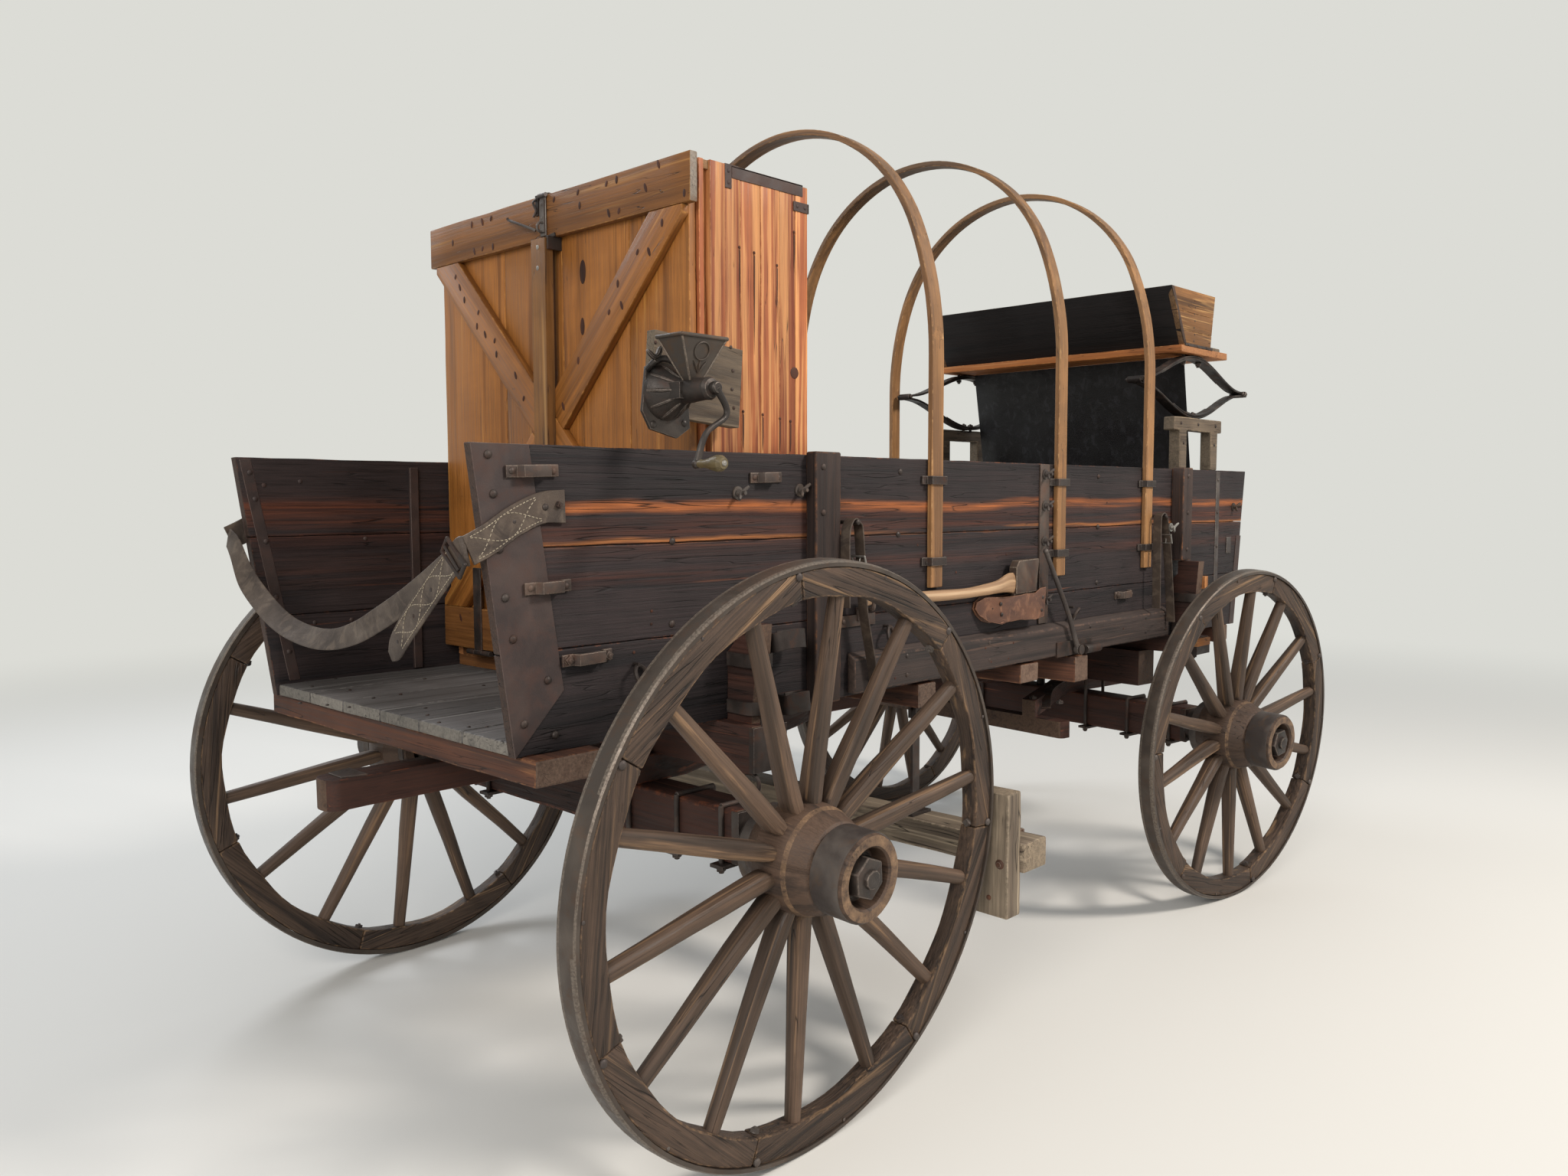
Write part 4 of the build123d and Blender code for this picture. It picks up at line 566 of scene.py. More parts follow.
class Stock:
    """A mesh in the making, with the marks that the finishes read.

    What is added lies on one side of the wagon: its y is multiplied by the side.
    """

    def __init__(self, mesh: bpy.types.Mesh | None = None) -> None:
        """Start empty, or from a copy of a mesh that is in metres."""
        self.bm = bmesh.new()
        if mesh is not None:
            self.bm.from_mesh(mesh)
            bmesh.ops.scale(self.bm, vec=(1000, 1000, 1000), verts=self.bm.verts)
            bmesh.ops.remove_doubles(self.bm, verts=self.bm.verts, dist=0.05)
            bmesh.ops.dissolve_limit(self.bm, angle_limit=radians(0.7), verts=self.bm.verts,
                                     edges=self.bm.edges)
        self.grain = self.bm.verts.layers.float_vector.new("grain")
        self.tone = self.bm.verts.layers.float.new("tone")
        self.edge = self.bm.faces.layers.float.new("edge")
        self.end = self.bm.faces.layers.float.new("end")
        self.side = 1

    def both(self) -> Iterable[int]:
        """Work on the wagon's right side, then on its left, and give the side."""
        for side in SIDES:
            self.side = side
            yield side
        self.side = 1

    def flip(self, place: Place) -> Vector:
        """Give a point or a direction on the side that is being worked on."""
        return Vector((place[0], place[1] * self.side, place[2]))

    def move(self, matrix: Matrix, verts: list | None = None) -> None:
        """Transform some vertices, or all."""
        bmesh.ops.transform(self.bm, matrix=matrix, verts=self.bm.verts if verts is None else verts)

    def mark(self, vert: bmesh.types.BMVert, grain: Place, tone: float = 0.5) -> None:
        """Give a vertex its place in the grain, in mm, and its tone."""
        vert[self.grain] = Vector(grain) * MM
        vert[self.tone] = tone

    def box(self, x: Pair, y: Pair, z: Pair) -> list:
        """Add a squared block between two places on each axis and give its vertices."""
        middle = self.flip([sum(span) / 2 for span in (x, y, z)])
        size = Matrix.Diagonal([*(abs(span[1] - span[0]) for span in (x, y, z)), 1])
        return bmesh.ops.create_cube(self.bm, size=1, matrix=Matrix.Translation(middle) @ size)["verts"]

    def rod(self, start: Place, end: Place, radius: float, tip: float | None = None, sides: int = 14) -> None:
        """Add a round bar, tapered where a tip radius is given."""
        a, b = self.flip(start), self.flip(end)
        bmesh.ops.create_cone(self.bm, cap_ends=True, segments=sides, radius1=radius,
                              radius2=radius if tip is None else tip, depth=(b - a).length,
                              matrix=aim((a + b) / 2, b - a))

    def dome(self, at: Place, normal: Place, radius: float, height: float) -> None:
        """Add a rivet's or carriage bolt's domed head, half sunk."""
        place = aim(self.flip(at), self.flip(normal)) @ Matrix.Diagonal((1, 1, height / radius, 1))
        bmesh.ops.create_uvsphere(self.bm, u_segments=12, v_segments=8, radius=radius, matrix=place)

    def studs(self, places: Iterable[Place], normal: Place, radius: float = 7, height: float = 4) -> None:
        """Set a dome at each place: rivets, bolts or nail heads."""
        for at in places:
            self.dome(at, normal, radius, height)

    def wall_studs(self, places: Iterable[Pair], y: float, radius: float, height: float, out: int = 1) -> None:
        """Set domes on a face that looks sideways.

        Args:
            places: x and z of each.
            y: the face.
            radius: of a dome.
            height: of a dome.
            out: 1 where the face looks outward, -1 where it looks inward.
        """
        self.studs([(x, y, z) for x, z in places], (0, out, 0), radius, height)

    def nut(self, at: Place, normal: Place, across: float, height: float, sides: int = 4,
            spin: float = 20, stub: float = 0.4) -> None:
        """Add a nut on its washer, with the bolt's end standing out of it.

        Args:
            at: the middle of its seat.
            normal: the way it looks.
            across: its width over the flats.
            height: its thickness.
            sides: 4 or 6.
            spin: turn about its bolt, degrees.
            stub: how far the bolt stands out, as a share of the height.
        """
        for radius, tall, count in ((across / 2 / cos(pi / sides), height, sides),
                                    (across * 0.26, height * (1 + stub), 10), (across * 0.62, 2.4, 14)):
            place = aim(self.flip(at), self.flip(normal), spin) @ Matrix.Translation((0, 0, tall / 2))
            bmesh.ops.create_cone(self.bm, cap_ends=True, segments=count, radius1=radius,
                                  radius2=radius * 0.93, depth=tall, matrix=place)

    def lathe(self, profile: Sequence[Pair], steps: int, place: Matrix = Matrix()) -> None:
        """Spin a closed outline of radius and height pairs about the Z of a place's frame."""
        verts = [self.bm.verts.new((r, 0, z)) for r, z in profile]
        edges = [self.bm.edges.new((a, b)) for a, b in zip(verts, [*verts[1:], verts[0]])]
        before = set(self.bm.verts)
        bmesh.ops.spin(self.bm, geom=[*verts, *edges], cent=(0, 0, 0), axis=(0, 0, 1), dvec=(0, 0, 0),
                       angle=2 * pi, steps=steps, use_merge=True, use_duplicate=False)
        made = [v for v in self.bm.verts if v not in before] + [v for v in verts if v.is_valid]
        self.move(place, made)
        bmesh.ops.remove_doubles(self.bm, verts=made, dist=0.01)

    def loft(self, rings: Sequence[Sequence[Vector]], flat: Sequence[Sequence[Point]]) -> None:
        """Pull a section along a row of stations and close both ends.

        Args:
            rings: the section's points at each station.
            flat: the same points unrolled, mm, where the grain follows the line.
        """
        verts = [self.bm.verts.new(p) for p in rings[0]]
        edges = list(self.bm.faces.new(verts).edges)
        rows = [verts]
        for ring in rings[1:]:
            out = bmesh.ops.extrude_edge_only(self.bm, edges=edges)["geom"]
            fresh = {tuple(v.co): v for v in out if isinstance(v, bmesh.types.BMVert)}
            verts = [fresh[tuple(v.co)] for v in verts]
            for vert, point in zip(verts, ring):
                vert.co = point
            inside = set(verts)
            edges = [e for e in out if isinstance(e, bmesh.types.BMEdge) and inside.issuperset(e.verts)]
            rows.append(verts)
        self.bm.faces.new(verts)
        for row, marks in zip(rows, flat):
            for vert, mark in zip(row, marks):
                self.mark(vert, mark)

    def sweep(self, line: Line, sections: Sequence[Sequence[Pair]], across: Any = None) -> None:
        """Pull a changing section along a line.

        Args:
            line: the section's middle at each station.
            sections: its corners at each station, across and up.
            across: the width's direction, one vector or one for each station. Carried along if left out.
        """
        points = [self.flip(p) for p in line]
        side = (points[1] - points[0]).orthogonal().normalized()
        rings, flat, run = [], [], 0.0
        for index, (point, corners) in enumerate(zip(points, sections)):
            ahead = (points[min(index + 1, len(points) - 1)] - points[max(index - 1, 0)]).normalized()
            if across is not None:
                side = Vector(across[index] if hasattr(across[0], "__len__") else across)
            side = (side - ahead * side.dot(ahead)).normalized()
            up = ahead.cross(side)
            run += (point - points[index - 1]).length if index else 0
            rings.append([point + side * a + up * b for a, b in corners])
            flat.append([(run, a, b) for a, b in corners])
        self.loft(rings, flat)

    def bar(self, line: Line, radius: float | Sequence[float], sides: int = 10) -> None:
        """Bend a round bar, of one radius or one for each point, along a line."""
        radii = [radius] * len(line) if isinstance(radius, (int, float)) else radius
        self.sweep(line, [[(r * c, r * s) for c, s in circle(sides)] for r in radii])

    def ribbon(self, line: Line, across: Any, width: float, thick: float, taper: Sequence[float] = ()) -> None:
        """Lay a flat strap along a line.

        Args:
            line: the middle of the strap.
            across: its width direction, one vector or one for each point.
            width: of the strap.
            thick: of the strap.
            taper: share of the width at each point.
        """
        cut = min(thick, width) * 0.3
        up, sections = thick / 2, []
        for share in taper or [1.0] * len(line):
            half = width / 2 * share
            sections.append([(-half, cut - up), (cut - half, -up), (half - cut, -up), (half, cut - up),
                             (half, up - cut), (half - cut, up), (cut - half, up), (-half, up - cut)])
        self.sweep(line, sections, across)

    def slab(self, outline: Sequence[Pair], axis: int, start: float, thick: float) -> None:
        """Extrude an outline.

        Args:
            outline: its corners, drawn across the axis.
            axis: 0, 1 or 2.
            start: the outline's place along the axis.
            thick: how far it is extruded, with its sign.
        """
        sign = self.side if axis == 1 else 1
        corners = [[*pair[:axis], start * sign, *pair[axis:]] for pair in outline]
        face = self.bm.faces.new([self.bm.verts.new(corner) for corner in corners])
        out = bmesh.ops.extrude_face_region(self.bm, geom=[face])["geom"]
        shift = [thick * sign if k == axis else 0.0 for k in range(3)]
        bmesh.ops.translate(self.bm, vec=shift, verts=[v for v in out if isinstance(v, bmesh.types.BMVert)])

    def wing(self, at: Place, out: Place, reach: float = 30) -> None:
        """Add a bolt's end with its washer and a bent wing nut."""
        foot, away = Vector(at), Vector(out)
        side = self.flip(self.flip(away).orthogonal().normalized())
        self.rod(foot, foot + away * reach, 4.5)
        self.rod(foot, foot + away * 4, 15)
        self.rod(foot + away * 6, foot + away * 17, 9, 6)
        self.bar([foot + away * (14 + 9 * abs(t) ** 1.5) + side * 21 * t for t in (-1, -0.6, 0, 0.6, 1)],
                 (3.2, 4.4, 5, 4.4, 3.2))

    def hoop(self, centre: Place, normal: Place, radius: float, thick: float) -> None:
        """Bend a round bar into a closed ring."""
        place = aim(self.flip(centre), self.flip(normal))
        self.bar([self.flip(place @ Vector((radius * cos(t), radius * sin(t), 0)))
                  for t in np.linspace(0, 2 * pi, 25)], thick, 8)

    def frame(self, place: Matrix, wide: float, tall: float, thick: float) -> None:
        """Bend a round bar into a rectangular buckle."""
        corners = [place @ Vector((a * wide / 2, b * tall / 2, 0))
                   for a, b in ((-1, -1), (1, -1), (1, 1), (-1, 1), (-1, -1))]
        for a, b in zip(corners, corners[1:]):
            self.rod(a, b, thick, sides=10)
            self.dome(a, (0, 0, 1), thick, thick)

    def slice_along(self, axis: int, pitch: float) -> None:
        """Cut the long faces into short ones, so that edges can wander."""
        places = [v.co[axis] for v in self.bm.verts]
        normal = [float(axis == k) for k in range(3)]
        for step in range(1, int((max(places) - min(places)) / pitch)):
            at = [n * (min(places) + step * pitch) for n in normal]
            bmesh.ops.bisect_plane(self.bm, geom=[*self.bm.verts, *self.bm.edges, *self.bm.faces],
                                   plane_co=at, plane_no=normal)

    def soften(self, width: float, segments: int = 2, limit: float = 35) -> None:
        """Round the sharp edges over and mark them as worn.

        Args:
            width: of the rounding.
            segments: faces across it.
            limit: degrees above which an edge is sharp.
        """
        bmesh.ops.recalc_face_normals(self.bm, faces=self.bm.faces)
        sharp = [e for e in self.bm.edges if len(e.link_faces) == 2
                 and e.calc_face_angle(0) > radians(limit)]
        if not sharp:
            return
        out = bmesh.ops.bevel(self.bm, geom=sharp, offset=width, offset_type="OFFSET", segments=segments,
                              profile=0.5, affect="EDGES", clamp_overlap=True, material=-1)
        for face in out["faces"]:
            face[self.edge] = 1.0

    def wobble(self, amount: float, cell: float = 90) -> None:
        """Shift the vertices by a smooth noise."""
        for vert in self.bm.verts:
            vert.co += noise.noise_vector(vert.co / cell) * amount

    def wear(self, edge: float, wander: float, axis: int | None = None, pitch: float = 90,
             segments: int = 2) -> None:
        """Round the edges of timbers and let them wander.

        Args:
            edge: width of the rounding.
            wander: how far the noise shifts them.
            axis: along which the timbers are cut into short faces first.
            pitch: length of those faces.
            segments: faces across the rounding.
        """
        if axis is not None:
            self.slice_along(axis, pitch)
        self.soften(edge, segments)
        self.wobble(wander)

    def islands(self) -> list[list]:
        """Give the vertices of each loose part."""
        seen: set = set()
        found = []
        for start in self.bm.verts:
            if start in seen:
                continue
            seen.add(start)
            group, queue = [start], [start]
            while queue:
                for edge in queue.pop().link_edges:
                    for vert in edge.verts:
                        if vert not in seen:
                            seen.add(vert)
                            group.append(vert)
                            queue.append(vert)
            found.append(group)
        return found

    def lay_grain(self, along: Along = Along.LONGEST) -> None:
        """Give each loose part its own grain, tone and sawn ends, unless it is marked already."""
        for group in self.islands():
            if group[0][self.tone] > 0:
                continue
            places = np.array([v.co for v in group])
            middle = places.mean(axis=0)
            axes = np.linalg.eigh(np.cov((places - middle).T) + np.eye(3) * 1e-9)[1][:, ::-1].T
            axes = [a * (1 if a[np.argmax(np.abs(a))] > 0 else -1) for a in axes]
            draw = random.Random(round(float(middle.sum()) * 7 + len(group)))
            shift = [draw.uniform(0, 20) for _ in range(3)]
            tone = draw.uniform(0.02, 1)
            local = (places - middle) @ np.array(axes).T * MM + shift
            if along is Along.ARCH:
                local = np.array([arch_grain(p) for p in places]) * MM + shift
            for vert, mark in zip(group, local):
                vert[self.grain] = Vector(mark)
                vert[self.tone] = tone
            if along is Along.LONGEST:
                lengthwise = Vector(axes[0])
                for face in {f for v in group for f in v.link_faces}:
                    if abs(face.normal.dot(lengthwise)) > 0.85:
                        face[self.end] = 1.0

    def finish(self, name: str, paint: Paint, *replaces: str, body: str = Body.WAGON,
               along: Along = Along.LONGEST) -> bpy.types.Object:
        """Make the mesh an object of the scene that rides on a body.

        Args:
            name: of the piece.
            paint: its finish.
            *replaces: the frame's nodes that it stands for.
            body: that carries it.
            along: which way its grain runs.

        Returns:
            The object.
        """
        bmesh.ops.recalc_face_normals(self.bm, faces=self.bm.faces)
        self.bm.normal_update()
        self.lay_grain(along)
        bmesh.ops.scale(self.bm, vec=(MM, MM, MM), verts=self.bm.verts)
        made = link(name, bpy.data.meshes.new(name))
        self.bm.to_mesh(made.data)
        self.bm.free()
        made.data.polygons.foreach_set("use_smooth", [True] * len(made.data.polygons))
        made.data.set_sharp_from_angle(angle=SHARP)
        made.data.materials.append(paint.material())
        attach(made, str(getattr(body, "value", body)))
        paint.slot
        if replaces:
            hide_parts(*replaces)
        LOG.info("%s: %d faces on %s", name, len(made.data.polygons), body)
        return made


def link(name: str, data: bpy.types.ID) -> bpy.types.Object:
    """Make an object of some data and put it in the scene."""
    made = bpy.data.objects.new(name, data)
    bpy.context.scene.collection.objects.link(made)
    return made


def arch_grain(place: Place) -> Point:
    """Unroll a point of a bow: run along the bow, distance from its line, width."""
    x, y, z = place
    spring = 1782.0
    if z < spring:
        return (spring - z) * (1 if y > 0 else -1), abs(y), x
    angle = atan2(z - spring, y)
    return angle * 560 - 880, hypot(y, z - spring), x


@dataclass(frozen=True)
class Worn:
    """A timber or iron of the frame, shown as a copy with rounded, uneven edges."""

    node: str
    paint: Paint
    edge: float
    wander: float
    axis: int | None = None
    pitch: float = 90.0
    body: Body = Body.WAGON
    along: Along = Along.LONGEST
    segments: int = 2

    def build(self, nodes: Nodes) -> None:
        """Copy, wear and dress the node."""
        stock = Stock(nodes[self.node].data)
        stock.wear(self.edge, self.wander, self.axis, self.pitch, self.segments)
        stock.finish(self.node + "_worn", self.paint, self.node, body=self.body, along=self.along)


class Assembly:
    """A part of the wagon: nodes of the frame that are worn, and pieces that are made."""

    worn: tuple = ()

    def build(self, nodes: Nodes) -> None:
        """Wear the nodes, then run every method that makes a piece, in their order."""
        for node in self.worn:
            node.build(nodes)
        for name, make in vars(type(self)).items():
            if name.startswith("make_"):
                make(self)
        LOG.info("%s done", type(self).__name__)


@dataclass
class Wheel(Assembly):
    """A wooden wheel: turned hub, oval spokes, sawn felloes and a shrunk iron tyre."""

    name: str
    axle_x: float
    side: int
    radius: float
    on_gear: bool
    phase: float              # degrees that it has rolled on from the frame's wheel
    camber: float = 2.4
    track: float = 1670.0
    tyre: Pair = (50, 14)     # width and thickness
    felloe: Pair = (46, 58)   # width and depth
    felloe_count: int = 7
    spoke_count: int = 14
    dish: float = 28.0
    # columns: distance from the middle, width, thickness, and how square the section is
    spoke_rings: tuple = (
        (100, 28, 52, 0.9), (118, 28, 51, 0.9), (128, 36, 50, 0.75), (150, 40, 48, 0.6), (210, 41, 44, 0.45),
        (270, 39, 41, 0.3), (340, 37, 38, 0.15), (430, 34, 34, 0))
    # columns: radius, distance outboard
    hub: tuple = (
        (58, -139), (84, -139), (89, -130), (89, -112), (93, -108), (106, -84), (116, -66), (118, -40), (118, -6),
        (115, 12), (110, 22), (101, 50), (95, 62), (89, 66), (90, 72), (90, 142), (87, 149), (80, 150), (66, 149),
        (62, 144), (60, 106), (34, 105))

    def place(self) -> Matrix:
        """Give the wheel's frame: its Z along the axle, outboard."""
        lean = radians(self.camber)
        out = Vector((0, self.side * cos(lean), -sin(lean)))
        ahead = Vector((1, 0, 0))
        turn = Matrix((ahead, out.cross(ahead), out)).transposed().to_4x4()
        centre = (self.axle_x, self.side * self.track / 2, self.radius * cos(lean))
        frame = Matrix.Translation(centre) @ turn @ Matrix.Rotation(radians(self.phase), 4, "Z")
        return steered() @ frame if self.on_gear else frame

    def dress(self, stock: Stock, piece: str, paint: Paint, *nodes: str, body: str = "") -> None:
        """Stand a piece where the wheel is and finish it.

        Args:
            stock: the piece, drawn in the wheel's frame.
            piece: its name without the wheel's.
            paint: its finish.
            *nodes: the frame's nodes that it stands for, without the wheel's name.
            body: that carries it, if it isn't the wheel.
        """
        stock.move(self.place())
        stands_for = [f"{self.name}_{node}" for node in nodes]
        stock.finish(f"{self.name}_{piece}", paint, *stands_for, body=body or f"{self.name}_wheel")

    def make_tyre(self) -> None:
        """Roll the tyre, its outer edges worn round."""
        stock = Stock()
        width, thick = self.tyre
        lean = tan(radians(self.camber)) * width / 2
        outer, inner, half = self.radius, self.radius - thick + 0.5, width / 2
        stock.lathe(((inner, -half), (outer - 3 + lean, -half), (outer + lean - 0.6, -half + 3),
                     (outer + lean * 0.6, -half + 10), (outer - lean * 0.6, half - 10),
                     (outer - lean - 1.2, half - 4), (outer - lean - 4.5, half), (inner, half)), 112)
        for vert in stock.bm.verts:
            around, rim = polar(vert.co)
            vert.co.z += 1.3 * sin(3 * around + self.phase)
            stock.mark(vert, (around * self.radius, rim, vert.co.z))
        for face in stock.bm.faces:
            middle = face.calc_center_median()
            if polar(middle)[1] > self.radius - 6 and abs(middle.z) > half - 8:
                face[stock.edge] = 1.0
        self.dress(stock, "tyre_iron", Paint.TYRE, "tyre")

    def make_felloes(self) -> None:
        """Saw the felloes, each a little proud or shy of its neighbours."""
        stock = Stock()
        width, depth = self.felloe
        outer = self.radius - self.tyre[1] + 0.3
        pitch = 2 * pi / self.felloe_count
        gap = 0.9 / outer
        draw = random.Random(f"{self.name} felloes")
        for index in range(self.felloe_count):
            low, high = -width / 2 + draw.uniform(-1, 1.2), width / 2 + draw.uniform(-1.5, 0.8)
            inner = outer - depth + draw.uniform(-1.5, 1.5)
            start = index * pitch + gap
            before = set(stock.bm.verts)
            corners = [stock.bm.verts.new((r, 0, z)) for r, z in
                       ((inner, low), (outer, low), (outer, high), (inner, high))]
            face = stock.bm.faces.new(corners)
            bmesh.ops.rotate(stock.bm, cent=(0, 0, 0), matrix=Matrix.Rotation(start, 3, "Z"), verts=corners)
            bmesh.ops.spin(stock.bm, geom=[face, *face.edges, *corners], cent=(0, 0, 0), axis=(0, 0, 1),
                           dvec=(0, 0, 0), angle=pitch - 2 * gap, steps=14, use_merge=False,
                           use_duplicate=False)
            for vert in [v for v in stock.bm.verts if v not in before]:
                around, rim = polar(vert.co)
                if rim < outer - depth / 2:
                    share = (around - start) % (2 * pi) / pitch
                    reach = 1 + 0.004 * cos(4 * pi * share)
                    vert.co.x *= reach
                    vert.co.y *= reach
        stock.soften(4, 2, 40)
        stock.wobble(1.3, 60)
        self.dress(stock, "felloes", Paint.WHEEL, "woodwork")

    def make_spokes(self) -> None:
        """Shape the spokes: squared at the hub, oval at the middle, round at the felloe."""
        stock = Stock()
        inner = self.radius - self.tyre[1] - self.felloe[1]
        root, shoulder, face = 100, 150, 124     # where a spoke starts, ends its foot, and leaves the hub
        scale = (inner + 10 - root) / (self.spoke_rings[-1][0] - root)
        for index in range(self.spoke_count):
            frame = Matrix.Rotation((index + 0.5) * 2 * pi / self.spoke_count, 4, "Z")
            rings, flat = [], []
            for reach, across, along, square in self.spoke_rings:
                run = root + (reach - root) * (scale if reach > shoulder else 1)
                drop = self.dish * (1 - max(0, (run - face) / (inner - face)))
                sway = noise.noise(Vector((index * 3.7, run / 160, self.radius))) * 2.5
                power = 1 - 0.62 * square
                ring = []
                for k in range(16):
                    c, s = cos(2 * pi * (k + 0.5) / 16), sin(2 * pi * (k + 0.5) / 16)
                    ring.append((across / 2 * copysign(abs(c) ** power, c),
                                 along / 2 * copysign(abs(s) ** power, s)))
                rings.append([frame @ Vector((run, a + sway, b - drop)) for a, b in ring])
                # each spoke is cut from another place in the wood
                flat.append([(run + index * 731, a + index * 97, b) for a, b in ring])
            stock.loft(rings, flat)
        draw = random.Random(f"{self.name} spokes")
        for group in stock.islands():
            tone = draw.uniform(0.1, 1)
            for vert in group:
                vert[stock.tone] = tone
        self.dress(stock, "spokes", Paint.SPOKE)

    def make_hub(self) -> None:
        """Turn the hub, scuffed along the shoulder in front of the spokes."""
        stock = Stock()
        stock.lathe(self.hub, 48)
        for face in stock.bm.faces:
            if 12 < face.calc_center_median().z < 34 or face.calc_center_median().z > 147:
                face[stock.edge] = 1.0
        for vert in stock.bm.verts:
            around, rim = polar(vert.co)
            stock.mark(vert, (vert.co.z * 0.4, around * 116, rim), 0.6)
            vert.co.xy *= 1 + 0.015 * noise.noise(vert.co / 30)
        self.dress(stock, "hub_turned", Paint.HUB, "hub")

    def make_irons(self) -> None:
        """Add the hub bands, the tyre bolts beside each felloe joint and the dowel clips."""
        stock = Stock()
        for low, high, rim in ((-134, -106, 90), (70, 142, 91.2)):
            stock.lathe(((rim - 3, low), (rim + 1.2, low), (rim + 1.6, low + 3), (rim + 1.6, high - 3),
                         (rim + 1.2, high), (rim - 3, high)), 48)
        face = Vector((0, 0, self.felloe[0] / 2))
        for index in range(self.felloe_count):
            joint = index * 2 * pi / self.felloe_count + 9 / (self.radius - self.tyre[1] / 2)
            spoke = joint + pi / self.felloe_count
            out, between = (Vector((cos(turn), sin(turn), 0)) for turn in (joint, spoke))
            stock.dome(out * (self.radius - 22) + face, (0, 0, 1), 9, 6)
            stock.dome(between * (self.radius - 20) + face, (0, 0, 1), 4, 2)
            stock.nut(out * (self.radius - self.tyre[1] - self.felloe[1]), -out, 15, 8, spin=index * 31)
        self.dress(stock, "bands_and_bolts", Paint.STRIP)

    def make_axle_nut(self) -> None:
        """Screw the worn nut on the axle arm's end, in the hub's recess."""
        stock = Stock()
        stock.lathe(((0.5, 110.6), (52, 110.6), (52, 116), (0.5, 116)), 28)
        stock.nut((0, 0, 114), (0, 0, 1), 83, 35, sides=6, spin=13, stub=0.28)
        stock.soften(4, 2, 40)
        stock.wobble(2, 25)
        self.dress(stock, "axle_nut", Paint.CAST, body=Body.GEAR if self.on_gear else Body.WAGON)


@dataclass
class Strap:
    """A flat leather strap laid along a line, with its stitching and holes."""

    line: Line
    facing: Line              # which way its outer face looks, one for each point
    width: float = 50.0
    thick: float = 5.0
    taper: Sequence[float] = ()
    steps: int = 8

    def __post_init__(self) -> None:
        """Smooth the line and its facing."""
        self.points = curve_through(self.line, self.steps)
        self.normals = [n.normalized() for n in curve_through(self.facing, self.steps)]
        widths = curve_through([(w, 0, 0) for w in (self.taper or [1.0] * len(self.line))], self.steps)
        self.shares = [max(0.15, w.x) for w in widths]
        self.runs = [0.0]
        for a, b in zip(self.points, self.points[1:]):
            self.runs.append(self.runs[-1] + (b - a).length)

    def across(self, index: int) -> Vector:
        """Give the strap's width direction at a point."""
        ahead = self.points[min(index + 1, len(self.points) - 1)] - self.points[max(index - 1, 0)]
        return ahead.cross(self.normals[index]).normalized()

    def spot(self, run: float, offset: float, lift: float = 0) -> tuple[Vector, Vector]:
        """Find a place on the strap's outer face.

        Args:
            run: how far along the strap.
            offset: how far from its middle line.
            lift: how far above its face.

        Returns:
            The place and the direction that the face looks in.
        """
        index = min(max(int(np.searchsorted(self.runs, run)), 1), len(self.runs) - 1)
        low, high = self.runs[index - 1], self.runs[index]
        share = (run - low) / max(high - low, 1e-6)
        middle = self.points[index - 1].lerp(self.points[index], share)
        normal = self.normals[index - 1].lerp(self.normals[index], share).normalized()
        return middle + self.across(index) * offset + normal * (self.thick / 2 + lift), normal

    def lay(self, stock: Stock) -> None:
        """Add the leather."""
        across = [self.across(k) for k in range(len(self.points))]
        stock.ribbon(self.points, across, self.width, self.thick, self.shares)

    def stitch(self, stock: Stock, start: float, end: float, wave: float = 92, pitch: float = 7.5) -> None:
        """Sew both edges and two crossing curves between them.

        Args:
            stock: takes the thread.
            start: where the seams begin along the strap.
            end: where they end.
            wave: half the length of a curve's wave.
            pitch: from one stitch to the next, longer than real so that it shows.
        """
        half = self.width / 2 - 7
        for amount, curved in ((half, False), (-half, False), (half, True), (-half, True)):
            run = start
            while run < end:
                index = min(int(np.searchsorted(self.runs, run)), len(self.shares) - 1)
                ends = []
                for at in (run, run + pitch * 0.62):
                    offset = amount * (sin(pi * at / wave) if curved else 1)
                    ends.append(self.spot(at, offset * self.shares[index], 0.2)[0])
                stock.rod(*ends, 0.95, sides=5)
                run += pitch

    def punch(self, stock: Stock, runs: Sequence[float], radius: float = 4) -> None:
        """Mark the buckle holes."""
        for run in runs:
            stock.dome(*self.spot(run, 0), radius, 0.9)


